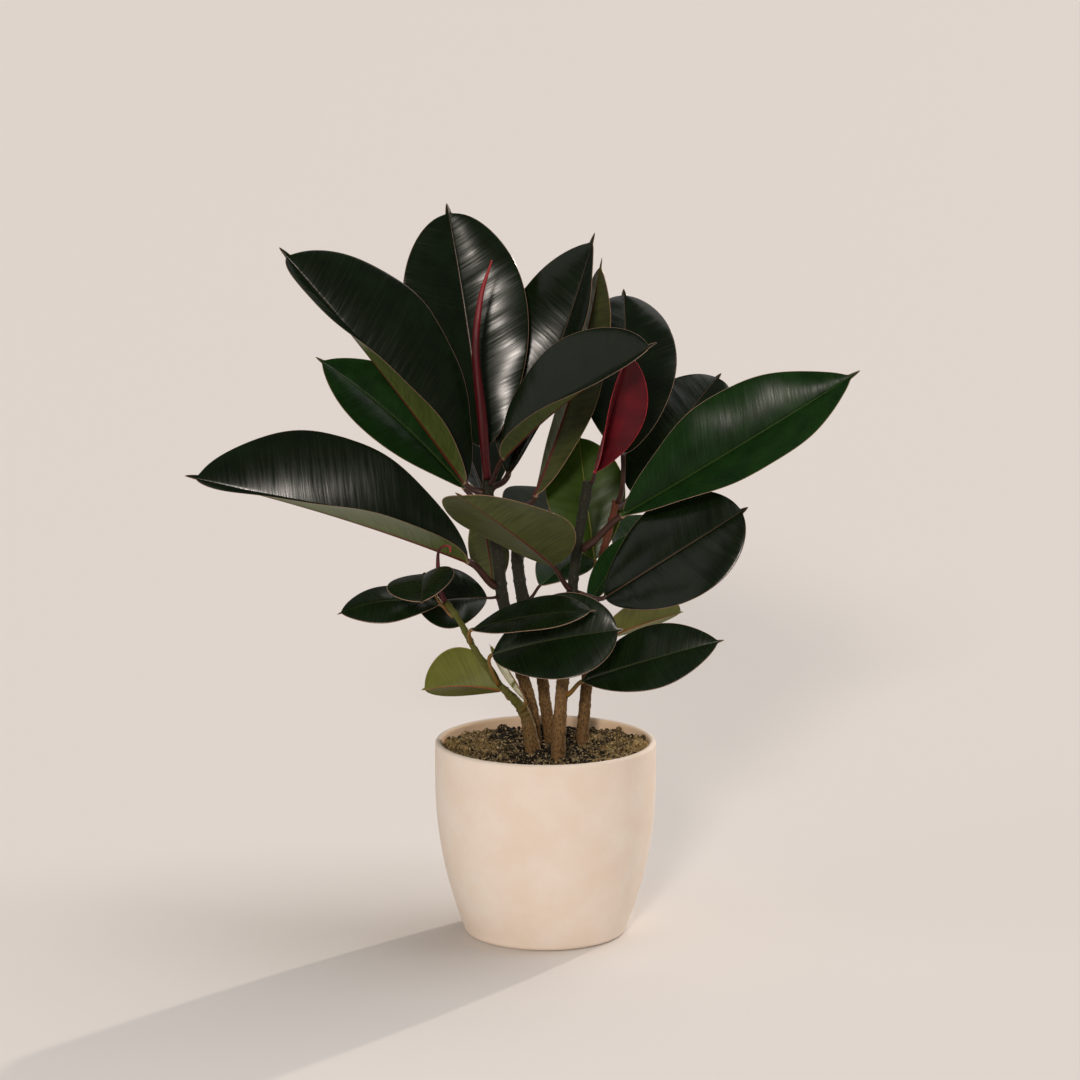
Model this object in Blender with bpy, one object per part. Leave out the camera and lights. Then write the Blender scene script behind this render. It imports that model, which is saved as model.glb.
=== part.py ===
"""A potted rubber plant: a tapered planter filled with soil, five rooted canes and their leaves.

The origin is the middle of the planter's foot, on the floor.  +Z is up and the plant's display
side looks along -Y.  Lengths are metres unless a table says millimetres, and angles are degrees.
A heading is measured from +X towards +Y seen from above, and a pitch is measured up from level.
"""
import bmesh
import bpy
from collections import namedtuple
from math import cos, hypot, pi, radians, sin, sqrt
from mathutils import Vector

MM = 0.001
GAP = 0.0003                # clearance between touching pieces

# Planter
POT_HEIGHT = 0.160
POT_RADIUS = 0.090          # over the straight band under the rim
POT_SHOULDER = 0.033        # height of that straight band
FOOT_RADIUS = 0.065         # where the curved side would meet the floor
FOOT_FILLET = 0.005
POT_WALL = 0.0055
POT_FLOOR = 0.008
POT_SEGMENTS = 40
SIDE_STEPS = 5              # facets up the curved side

# Soil
SOIL_DROP = 0.010           # mean soil level below the rim
MOUND_RISE = 0.0055         # soil heaped against the wall at the two sides
SOIL_RINGS = 5
SOCKET_DEPTH = 0.045        # how deep the canes are planted

# Canes and leaves
CANE_SIDES = 8
CANE_STEPS = 3              # rings between two points of a cane
BLADE_THICKNESS = 0.0010
PETIOLE_TAPER = 0.0092      # petiole radius for each metre of blade
PETIOLE_BASE = 0.0006       # added to that radius
MIDRIB_SHARE = 0.55         # midrib depth under the blade, as a share of the petiole radius
BLADE_STEPS = 60            # steps in which a blade's bend is summed
BLADE_STATIONS = (0.0, 0.05, 0.14, 0.27, 0.43, 0.60, 0.76, 0.88, 0.955, 1.0)
PETIOLE_STATIONS = (0.0, 0.3, 0.65)
STALK_REACH = 0.35          # how far a petiole's end directions reach, as a share of its length
FLUSH = 0.5                 # how squarely it leaves its cane
UPPER_POINTS = 5            # points across the upper face of a blade's section
APEX = 0.955                # share of the blade below its drip tip
TIP_RADIUS = 0.0005
FOLD_AT_BASE = 1.35         # the fold is this much of its mid value at the base
FOLD_EASE = 0.7             # and opens by this much towards the tip

# Each cane by its points: x, y and height above the soil, and its radius there, in millimetres.
CANES = {
    "left": ((-8, 15, 0, 5.2), (-12, 14, 36, 4.7), (-21, 12, 68, 4.7), (-34, 6, 122, 4.8),
             (-38, 3, 156, 4.8), (-44, 2, 195, 4.4), (-47, 2, 225, 3.8)),
    "middle": ((5, 22, 0, 5.0), (0, 22, 34, 4.5), (-5, 22, 71, 4.6), (-18, 22, 121, 4.9),
               (-23, 24, 154, 4.9), (-22, 27, 183, 4.2), (-18, 28, 201, 3.4)),
    "front": ((10, -27, 0, 5.4), (12, -26, 41, 4.9), (16, -24, 86, 4.6), (21, -20, 132, 4.2),
              (25, -16, 170, 4.0), (31, -12, 206, 4.1), (34, -10, 226, 4.1)),
    "right": ((30, 25, 0, 5.0), (33, 27, 41, 4.5), (36, 30, 78, 4.2), (40, 34, 115, 3.7),
              (46, 40, 151, 3.3), (54, 46, 182, 2.9), (58, 48, 200, 2.7)),
    "side": ((-10, -3, 0, 6.2), (-16, -6, 31, 4.6), (-26, -12, 47, 3.1), (-37, -18, 60, 2.3),
             (-55, -28, 88, 2.2), (-70, -36, 118, 2.2), (-80, -40, 133, 2.3)),
}

# Each leaf: cane; height of its node above the soil, mm; petiole length, heading and pitch;
# blade length and width, mm; blade heading and pitch at mid length; turn and arch, the change
# of heading and the fall of pitch from base to tip; roll of the face to its left side and twist,
# its change from base to tip; fold of each half up from flat; bluntness, 0 tapered to 1 round.
Leaf = namedtuple("Leaf", "cane node stalk stalk_heading stalk_pitch length width heading pitch"
                          " turn arch roll twist fold blunt")
LEAVES = {
    "leaf_left_1": Leaf("left", 214, 16, -178, 30, 242, 126, 171, 51, -12, 8, 22, 12, 41, 0.6),
    "leaf_left_2": Leaf("left", 222, 28, 105, 72, 202, 102, 119, 72, 6, 5, 24, 0, 9, 0.9),
    "leaf_left_3": Leaf("left", 217, 25, 56, 16, 209, 104, 18, 69, -22, -12, -28, 0, 33, 0.4),
    "leaf_left_4": Leaf("left", 222, 30, -57, 50, 168, 92, -25, 37, 20, 15, -38, 0, 37, 0.7),
    "leaf_left_5": Leaf("left", 204, 21, 160, 36, 161, 72, 174, 41, -10, 18, 45, 0, 15, 0.1),
    "leaf_left_6": Leaf("left", 138, 33, -150, 42, 240, 128, 180, 17, -21, 13, 27, 0, 44, 0.5),
    "leaf_left_7": Leaf("left", 129, 12, -135, 4, 60, 58, -172, -4, -6, 18, 48, 0, 5, 0.8),
    "leaf_left_8": Leaf("left", 200, 23, 108, -5, 76, 34, 60, -74, 0, 12, 20, 0, 5, 0.5),
    "leaf_middle_1": Leaf("middle", 198, 13, 46, 31, 203, 66, 14, 74, 0, -16, 166, 0, 10, 0.4),
    "leaf_middle_2": Leaf("middle", 121, 14, 0, 53, 72, 46, 56, 14, 3, 11, -15, 0, 10, 0.5),
    "leaf_right_1": Leaf("right", 198, 42, -54, 80, 148, 84, 89, 58, 11, 10, -1, 0, 5, 0.9),
    "leaf_right_2": Leaf("right", 193, 21, 44, 30, 136, 84, 43, 41, -3, 10, -18, 0, 10, 0.9),
    "leaf_right_3": Leaf("right", 139, 16, 101, 40, 108, 66, 108, 66, -12, 9, 17, 0, 5, 0.6),
    "leaf_right_4": Leaf("right", 68, 15, 60, 68, 88, 52, 29, 12, 21, 22, 49, 0, 20, 0.4),
    "leaf_front_1": Leaf("front", 172, 42, -11, 41, 224, 92, -2, 32, 18, 0, -50, 0, 26, 0.0),
    "leaf_front_2": Leaf("front", 136, 22, -6, -8, 141, 88, -14, 34, 15, 0, -65, 0, 5, 0.9),
    "leaf_front_3": Leaf("front", 54, 19, -30, 42, 124, 57, -15, 19, 24, 9, -56, 0, 8, 0.1),
    "leaf_front_4": Leaf("front", 139, 33, -126, 45, 142, 104, -129, 32, -20, 0, -9, 0, 9, 0.95),
    "leaf_front_5": Leaf("front", 117, 16, 42, 22, 80, 38, 28, 48, 11, 20, -11, 0, 8, 0.4),
    "leaf_side_1": Leaf("side", 99, 20, -84, 41, 107, 46, -18, 12, 26, 20, -27, 0, 5, 0.5),
    "leaf_side_2": Leaf("side", 62, 32, -104, 60, 114, 74, -18, 14, 24, 14, -58, -24, 8, 0.9),
    "leaf_side_3": Leaf("side", 48, 9, 178, 50, 66, 64, 178, 0, 10, 26, -60, 15, 32, 0.6),
    "leaf_side_4": Leaf("side", 129, 34, -166, 58, 68, 56, -90, -9, 6, 25, -14, 5, 11, 0.7),
    "leaf_side_5": Leaf("side", 121, 15, 172, 40, 84, 42, -175, -5, -3, 42, 35, 0, -12, 0.3),
    "leaf_side_6": Leaf("side", 38, 12, -80, 55, 54, 36, 160, 55, 0, 10, 165, 0, 8, 0.7),
    "leaf_back_1": Leaf("left", 195, 29, 97, 14, 138, 88, 107, 24, 7, 7, 10, 0, 20, 0.6),
    "leaf_back_2": Leaf("middle", 154, 28, 73, 10, 131, 82, 78, 12, 3, 7, -7, 0, 20, 0.6),
    "leaf_back_3": Leaf("right", 143, 28, 57, 7, 121, 76, 59, 5, -3, 6, -10, 0, 18, 0.5),
    "leaf_back_4": Leaf("right", 92, 20, 110, -10, 90, 52, 90, -24, -8, 9, -12, 0, 15, 0.5),
    "young_leaf": Leaf("front", 225, 9, -40, 70, 106, 56, -32, 71, 0, 10, -160, 0, 45, 0.3),
}

# Each bud on the end of its cane: its points as x, y, z from the end of the cane and its radius,
# in millimetres.
BUDS = {
    "crown_bud": ("left", ((-4, -4, 48, 4.6), (-9, -4, 104, 3.6),
                           (-5, 4, 146, 2.4), (4, 8, 176, 0.6))),
    "shoot_bud": ("side", ((-5, -1, 13, 2.5), (-6, -2, 32, 1.8), (-5, -3, 42, 1.2),
                           (0, -4, 46, 1.0), (4, -5, 45, 0.9), (4, -6, 41, 0.7))),
}

COLOURS = {
    "planter": (0.78, 0.62, 0.50, 0.75), "soil": (0.09, 0.06, 0.04, 0.95),
    "bark": (0.20, 0.12, 0.06, 0.8), "leaf": (0.012, 0.035, 0.018, 0.25),
    "sheath": (0.25, 0.02, 0.02, 0.4),
}


def unit(vector):
    """Return the vector at length one."""
    return vector.normalized()


def material(name):
    """Return the Principled material of this name, making it the first time."""
    found = bpy.data.materials.get(name)
    if found:
        return found
    red, green, blue, roughness = COLOURS[name]
    made = bpy.data.materials.new(name)
    made.use_nodes = True
    shader = made.node_tree.nodes["Principled BSDF"]
    shader.inputs["Base Color"].default_value = (red, green, blue, 1)
    shader.inputs["Roughness"].default_value = roughness
    shader.inputs["Metallic"].default_value = 0
    made.diffuse_color = (red, green, blue, 1)
    return made


def add_object(name, mesh_data, finish):
    """Link a bmesh as a named, smooth-shaded object."""
    bmesh.ops.recalc_face_normals(mesh_data, faces=mesh_data.faces)
    mesh = bpy.data.meshes.new(name)
    mesh_data.to_mesh(mesh)
    mesh_data.free()
    mesh.shade_smooth()
    mesh.set_sharp_from_angle(angle=radians(40))
    mesh.materials.append(material(finish))
    made = bpy.data.objects.new(name, mesh)
    bpy.context.scene.collection.objects.link(made)
    return made


def loft(name, rings, finish, under=CANE_SIDES):
    """Skin a row of rings that have the same number of points, and cap both ends.

    From the corner numbered under, the quads are cut along their other diagonal, so that the two
    faces of a curved blade stay parallel.
    """
    mesh_data = bmesh.new()
    rows = [[mesh_data.verts.new(point) for point in ring] for ring in rings]
    for low, high in zip(rows, rows[1:]):
        for i in range(len(low)):
            j = (i + 1) % len(low)
            across = (low[i], high[j]) if i < under else (low[j], high[i])
            mesh_data.faces.new((low[i], low[j], across[1]))
            mesh_data.faces.new((across[0], high[j], high[i]))
    mesh_data.faces.new(rows[0])
    mesh_data.faces.new(rows[-1])
    return add_object(name, mesh_data, finish)


def turn(name, profile, finish):
    """Turn a closed profile of (radius, height) points about Z; radius 0 is on the axis."""
    mesh_data = bmesh.new()
    rows = []
    for radius, height in profile:
        if radius == 0:
            rows.append([mesh_data.verts.new((0, 0, height))] * POT_SEGMENTS)
        else:
            rows.append([mesh_data.verts.new(spoke(i, radius, height)) for i in range(POT_SEGMENTS)])
    for low, high in zip(rows, rows[1:]):
        for i in range(POT_SEGMENTS):
            j = (i + 1) % POT_SEGMENTS
            corners = dict.fromkeys((low[i], low[j], high[j], high[i]))
            mesh_data.faces.new(list(corners))
    return add_object(name, mesh_data, finish)


def spoke(i, radius, height):
    """Return the point at this radius and height on the planter's i-th spoke."""
    angle = 2 * pi * i / POT_SEGMENTS
    return Vector((radius * cos(angle), radius * sin(angle), height))


# ---- planter and soil

def side_radius(height):
    """Return the planter's outer radius: an arc up to the shoulder, then straight."""
    rise = POT_HEIGHT - POT_SHOULDER
    draw = POT_RADIUS - FOOT_RADIUS
    arc = (rise ** 2 + draw ** 2) / (2 * draw)
    below = max(0.0, rise - height)
    return POT_RADIUS - arc + sqrt(arc ** 2 - below ** 2)


def inner_radius(height):
    """Return the radius of the planter's cavity at this height."""
    return side_radius(height) - POT_WALL


def planter():
    """The planter as one turned piece, with a rounded rim and foot."""
    shoulder = POT_HEIGHT - POT_SHOULDER
    lip = POT_WALL / 2
    levels = [FOOT_FILLET + (shoulder - FOOT_FILLET) * i / SIDE_STEPS for i in range(SIDE_STEPS + 1)]
    outside = [(side_radius(z), z) for z in levels]
    inside = [(inner_radius(z), z) for z in levels if z > POT_FLOOR + FOOT_FILLET]
    fillet = FOOT_FILLET * (1 - sqrt(0.5))
    foot = side_radius(FOOT_FILLET)
    floor_edge = inner_radius(POT_FLOOR + FOOT_FILLET)
    profile = [(0, 0), (foot - FOOT_FILLET, 0), (foot - fillet, fillet)]
    profile += outside
    profile += [(POT_RADIUS, POT_HEIGHT - lip), (POT_RADIUS - lip / 2, POT_HEIGHT),
                (POT_RADIUS - POT_WALL + lip / 2, POT_HEIGHT), (POT_RADIUS - POT_WALL, POT_HEIGHT - lip)]
    profile += inside[::-1]
    profile += [(floor_edge, POT_FLOOR + FOOT_FILLET), (floor_edge - FOOT_FILLET, POT_FLOOR), (0, POT_FLOOR)]
    return turn("planter", profile, "planter")


def soil_level(x, y):
    """Return the height of the lumpy soil surface, heaped a little at the two sides."""
    sideways = (x / (POT_RADIUS - POT_WALL)) ** 2
    lumps = 0.25 * sin(x * 90 + 1) * cos(y * 80) + 0.15 * sin(x * 190) * sin(y * 170 + 2)
    return POT_HEIGHT - SOIL_DROP + MOUND_RISE * (sideways + lumps) * (0.5 + 0.5 * min(1.0, sideways * 4))


def soil(sockets):
    """The soil in the planter, with a socket for each cane."""
    base = POT_FLOOR + GAP
    shoulder = POT_HEIGHT - POT_SHOULDER
    bottom_edge = inner_radius(POT_FLOOR + FOOT_FILLET)
    levels = [FOOT_FILLET + (shoulder - FOOT_FILLET) * i / SIDE_STEPS for i in range(SIDE_STEPS + 1)]
    profile = [(0, base), (bottom_edge - FOOT_FILLET - GAP, base), (bottom_edge - GAP, base + FOOT_FILLET)]
    profile += [(inner_radius(z) - GAP, z) for z in levels if z > POT_FLOOR + FOOT_FILLET]
    top = POT_RADIUS - POT_WALL - GAP
    profile += [(top * i / SOIL_RINGS, None) for i in range(SOIL_RINGS, -1, -1)]
    mesh_data = bmesh.new()
    rows = []
    for radius, height in profile:
        count = POT_SEGMENTS if radius else 1
        points = [spoke(i, radius, 0) for i in range(count)]
        for point in points:
            point.z = soil_level(point.x, point.y) if height is None else height
        made = [mesh_data.verts.new(point) for point in points]
        rows.append(made * (POT_SEGMENTS // count))
    for low, high in zip(rows, rows[1:]):
        for i in range(POT_SEGMENTS):
            j = (i + 1) % POT_SEGMENTS
            mesh_data.faces.new(list(dict.fromkeys((low[i], low[j], high[j], high[i]))))
    body = add_object("soil", mesh_data, "soil")
    for socket in sockets:
        cut = body.modifiers.new(socket.name, "BOOLEAN")
        cut.operation = "DIFFERENCE"
        cut.object = socket
    return body


# ---- canes

def smooth_points(points, steps):
    """Return points on a smooth curve through the given ones, this many for each span."""
    ends = [2 * points[0] - points[1]] + list(points) + [2 * points[-1] - points[-2]]
    found = []
    for i in range(1, len(ends) - 2):
        before, start, end, after = ends[i - 1:i + 3]
        for step in range(steps):
            t = step / steps
            bend = start * 2 + (end - before) * t
            bend += (before * 2 - start * 5 + end * 4 - after) * t ** 2
            bend += (start * 3 - before - end * 3 + after) * t ** 3
            found.append(bend / 2)
    found.append(points[-1].copy())
    return found


def carried_frames(points, first_side):
    """Return a (side, face) pair of directions at each point, carried along without twisting."""
    frames = []
    side = first_side
    for i in range(len(points)):
        ahead = unit(points[min(i + 1, len(points) - 1)] - points[max(i - 1, 0)])
        side = unit(side - ahead * side.dot(ahead))
        frames.append((side, side.cross(ahead)))
    return frames


def tube_rings(points, radii, sides):
    """Return round rings about a row of points."""
    rings = []
    for point, radius, (side, face) in zip(points, radii, carried_frames(points, Vector((1, 0, 0.01)))):
        angles = [2 * pi * i / sides for i in range(sides)]
        rings.append([point + side * radius * cos(a) + face * radius * sin(a) for a in angles])
    return rings


def cane_line(cane, steps=CANE_STEPS):
    """Return a cane's centre points and radii, from its planted end to its tip."""
    ground = POT_HEIGHT - SOIL_DROP
    knots = [Vector((x * MM, y * MM, ground + z * MM, r * MM)) for x, y, z, r in CANES[cane]]
    slope = unit((knots[1] - knots[0]).to_3d())
    root = knots[0].copy()
    root.xyz = knots[0].to_3d() - slope * SOCKET_DEPTH
    line = [root] + smooth_points(knots, steps)
    return [p.to_3d() for p in line], [p.w for p in line]


def cane_object(cane):
    """One cane as a faceted tapering tube."""
    points, radii = cane_line(cane)
    return loft("cane_" + cane, tube_rings(points, radii, CANE_SIDES), "bark")


def cane_socket(cane):
    """The cutter for a cane's socket in the soil: the cane's planted length, a gap larger."""
    points, radii = cane_line(cane)
    count = CANE_STEPS + 2
    ahead = unit(points[1] - points[0])
    points = [points[0] - ahead * GAP] + points[1:count]
    radii = [r + 2 * GAP for r in radii[:count]]
    cutter = loft("socket_" + cane, tube_rings(points, radii, CANE_SIDES), "soil")
    cutter.hide_render = True
    cutter.display_type = "WIRE"
    return cutter


def cane_at(cane, node):
    """Return a cane's centre, direction and radius at a height above the soil, in millimetres."""
    points, radii = cane_line(cane, 12)
    height = POT_HEIGHT - SOIL_DROP + node * MM
    for i in range(len(points) - 1):
        low, high = points[i], points[i + 1]
        if low.z <= height <= high.z:
            share = (height - low.z) / (high.z - low.z)
            return low.lerp(high, share), unit(high - low), radii[i] + (radii[i + 1] - radii[i]) * share
    raise ValueError("no node at %s mm on cane %s" % (node, cane))


# ---- leaves

def heading_frame(heading, pitch, roll):
    """Return the forward, side and face directions of a blade that points this way."""
    h, p, r = radians(heading), radians(pitch), radians(roll)
    forward = Vector((cos(p) * cos(h), cos(p) * sin(h), sin(p)))
    up = Vector((-sin(p) * cos(h), -sin(p) * sin(h), cos(p)))
    left = up.cross(forward)
    face = up * cos(r) + left * sin(r)
    return forward, forward.cross(face), face


def half_width(leaf, v):
    """Return the blade's half width at a share v of its length: an ellipse with a drip tip."""
    within = min(1.0, v / APEX)
    skew = 1.10 + 0.17 * leaf.blunt
    power = 0.75 - 0.29 * leaf.blunt
    body = sin(pi * within ** skew) ** power if 0 < within < 1 else 0.0
    tip = 0.05 * min(1.0, (1 - v) / (1 - APEX))
    return leaf.width * MM / 2 * max(body, tip if v > 0.5 else 0.0)


def blade_line(leaf, base):
    """Return the midrib's points from base to tip and the frame at each, in equal steps."""
    points, frames = [base], []
    for i in range(BLADE_STEPS + 1):
        v = i / BLADE_STEPS
        heading = leaf.heading + leaf.turn * (v - 0.5)
        pitch = leaf.pitch - leaf.arch * (v - 0.5)
        frames.append(heading_frame(heading, pitch, leaf.roll + leaf.twist * (v - 0.5)))
        points.append(points[-1] + frames[-1][0] * leaf.length * MM / BLADE_STEPS)
    return points[:-1], frames


def leaf_rings(leaf):
    """Return a leaf's rings: the round petiole, then the blade, folded along its midrib."""
    centre, ahead, radius = cane_at(leaf.cane, leaf.node)
    stalk = heading_frame(leaf.stalk_heading, leaf.stalk_pitch, 0)[0]
    level = Vector((stalk.x, stalk.y, 0))
    outward = unit(level - ahead * level.dot(ahead))
    root = centre + outward * (radius + GAP)
    base = root + stalk * leaf.stalk * MM
    points, frames = blade_line(leaf, base)
    thick = PETIOLE_BASE + PETIOLE_TAPER * leaf.length * MM

    reach = leaf.stalk * MM * STALK_REACH
    leaving = unit(stalk + outward * FLUSH)
    knots = (root, root + leaving * reach, base - frames[0][0] * reach, base)
    rings = []
    side = frames[0][1]
    for t in reversed(PETIOLE_STATIONS):
        s = 1 - t
        point = knots[0] * s ** 3 + knots[1] * 3 * s * s * t + knots[2] * 3 * s * t * t + knots[3] * t ** 3
        along = outward if t == 0 else unit((knots[1] - knots[0]) * s * s
                                            + (knots[2] - knots[1]) * 2 * s * t
                                            + (knots[3] - knots[2]) * t * t)
        side = unit(side - along * side.dot(along))
        face = side.cross(along)
        rings.insert(0, round_section(point, side, face, thick))
    for v in BLADE_STATIONS:
        i = round(v * BLADE_STEPS)
        rings.append(blade_section(leaf, v, points[i], frames[i][1], frames[i][2], thick))
    return rings


def round_section(point, side, face, radius):
    """Return eight points of a petiole ring, in the order of a blade section."""
    angles = [pi - pi * i / 4 for i in range(8)]
    return [point + side * radius * cos(a) + face * radius * sin(a) for a in angles]


def blade_section(leaf, v, point, side, face, thick):
    """Return eight points round the blade: five across its upper face, three under it."""
    half = half_width(leaf, v)
    if half < thick and v < 0.5:
        return round_section(point, side, face, thick)
    half = max(half, TIP_RADIUS)
    fold = radians(leaf.fold) * (FOLD_AT_BASE - FOLD_EASE * v)
    body = BLADE_THICKNESS * min(1.0, half / (4 * BLADE_THICKNESS))
    rib = thick * MIDRIB_SHARE * (1 - v) ** 0.7
    upper = [(-half, -body / 2), (-half / 2, 0), (0, 0), (half / 2, 0), (half, -body / 2)]
    lower = [(half / 2, -body), (0, -body - rib), (-half / 2, -body)]
    section = []
    for across, depth in upper + lower:
        lift = abs(across) * sin(fold) + depth
        section.append(point + side * across * cos(fold) + face * lift)
    return section


def leaf_object(name, leaf):
    """One leaf with its petiole."""
    finish = "sheath" if name == "young_leaf" else "leaf"
    return loft(name, leaf_rings(leaf), finish, UPPER_POINTS - 1)


def bud_object(name):
    """A rolled leaf sheath standing on the end of its cane."""
    cane, table = BUDS[name]
    points, radii = cane_line(cane)
    end, ahead = points[-1], unit(points[-1] - points[-2])
    knots = [(end + ahead * start).to_4d() for start in (GAP, 4 * MM)]
    knots += [Vector((end.x + x * MM, end.y + y * MM, end.z + z * MM, r * MM)) for x, y, z, r in table]
    for knot in knots[:2]:
        knot.w = radii[-1]
    line = knots[:1] + smooth_points(knots[1:], 2)
    rings = tube_rings([p.to_3d() for p in line], [p.w for p in line], CANE_SIDES)
    return loft(name, rings, "sheath")


def main():
    """Build the whole plant."""
    for found in list(bpy.data.objects):
        bpy.data.objects.remove(found)
    planter()
    soil([cane_socket(cane) for cane in CANES])
    for cane in CANES:
        cane_object(cane)
    for name, leaf in LEAVES.items():
        leaf_object(name, leaf)
    for name in BUDS:
        bud_object(name)


main()
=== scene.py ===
"""A potted rubber plant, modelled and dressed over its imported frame.

The origin is the middle of the planter's foot, on the floor.  +Z is up and the display side of the
plant looks along -Y.  Lengths are metres unless a name or a table says millimetres, and angles are
degrees.  A heading is measured from +X towards +Y seen from above, and a pitch up from level.
"""

import logging
from dataclasses import dataclass, field
from enum import Enum
from math import cos, exp, pi, radians, sin, sqrt
from random import Random

import bpy
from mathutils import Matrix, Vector, noise

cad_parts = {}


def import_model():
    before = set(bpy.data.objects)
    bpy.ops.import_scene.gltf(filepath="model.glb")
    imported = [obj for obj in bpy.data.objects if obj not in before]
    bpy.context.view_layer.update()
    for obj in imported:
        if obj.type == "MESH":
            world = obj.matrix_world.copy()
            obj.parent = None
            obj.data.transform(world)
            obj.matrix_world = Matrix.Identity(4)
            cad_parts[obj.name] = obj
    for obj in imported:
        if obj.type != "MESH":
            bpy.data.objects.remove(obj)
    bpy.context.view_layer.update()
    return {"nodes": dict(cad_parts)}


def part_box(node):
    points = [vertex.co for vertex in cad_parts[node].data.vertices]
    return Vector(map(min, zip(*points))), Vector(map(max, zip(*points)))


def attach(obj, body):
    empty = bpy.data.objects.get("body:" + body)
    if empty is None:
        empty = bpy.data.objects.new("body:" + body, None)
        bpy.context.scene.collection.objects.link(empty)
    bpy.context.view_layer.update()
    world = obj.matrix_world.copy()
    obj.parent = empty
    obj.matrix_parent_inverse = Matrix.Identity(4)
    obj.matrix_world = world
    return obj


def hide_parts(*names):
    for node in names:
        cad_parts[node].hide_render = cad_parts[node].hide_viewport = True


LOG = logging.getLogger("rubber_plant")
MM = 0.001
BODY = "root"
GAP = 0.3 * MM              # clearance between touching pieces, as in the frame

VEIN_SLOPE = 0.42           # how far a side vein leans to the tip for each mm outwards
PLANT_WAX_IOR = 1.45
NO_MARGIN_MM = 50.0         # distance noted to the nearest margin where there is none
NEAR_X = Vector((1, 0, 0.01))

Colour = tuple[float, float, float, float]
Knot = tuple[float, float, float, float]
Triple = tuple[float, float, float]
Trio = tuple[Vector, Vector, Vector]
Section = list[Vector]


def linear(code: str) -> Colour:
    """Turn an sRGB hex colour into linear light.

    Args:
        code: Six hex digits.

    Returns:
        Red, green, blue and an alpha of one.
    """
    parts = [int(code[i:i + 2], 16) / 255 for i in (0, 2, 4)]
    red, green, blue = (p / 12.92 if p <= 0.04045 else ((p + 0.055) / 1.055) ** 2.4 for p in parts)
    return red, green, blue, 1.0


def add_node(tree: bpy.types.NodeTree, kind: str, settings: dict | None = None,
             links: dict | None = None) -> bpy.types.Node:
    """Add one node with its settings and links.

    Args:
        tree: The material's node tree.
        kind: The node's type name.
        settings: Properties by name, and unlinked sockets by name or number.
        links: The output socket that feeds each input, by the input's name or number.

    Returns:
        The new node.
    """
    made = tree.nodes.new(kind)
    for name, value in (settings or {}).items():
        if isinstance(name, int) or (name in made.inputs and not hasattr(made, name)):
            made.inputs[name].default_value = value
        else:
            setattr(made, name, value)
    for name, source in (links or {}).items():
        tree.links.new(source, made.inputs[name])
    return made


# ---- finishes

@dataclass(frozen=True)
class Finish:
    """A real material and how its surface was made.

    Attributes:
        name: The material's name.
        roughness: Mean roughness of the surface.
        ior: Index of refraction.
    """

    name: str
    roughness: float
    ior: float

    def material(self) -> bpy.types.Material:
        """Make the material the first time it is asked for.

        Returns:
            The material, the same one each time.
        """
        found = bpy.data.materials.get(self.name)
        if found:
            return found
        made = bpy.data.materials.new(self.name)
        made.use_nodes = True
        shader = made.node_tree.nodes["Principled BSDF"]
        shader.inputs["IOR"].default_value = self.ior
        shader.inputs["Roughness"].default_value = self.roughness
        self.dress(made.node_tree, shader)
        return made

    def dress(self, tree: bpy.types.NodeTree, shader: bpy.types.Node) -> None:
        """Add the finish's own nodes, which each kind of finish does its own way.

        Args:
            tree: The material's node tree.
            shader: Its main shader.
        """
        raise NotImplementedError


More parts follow.
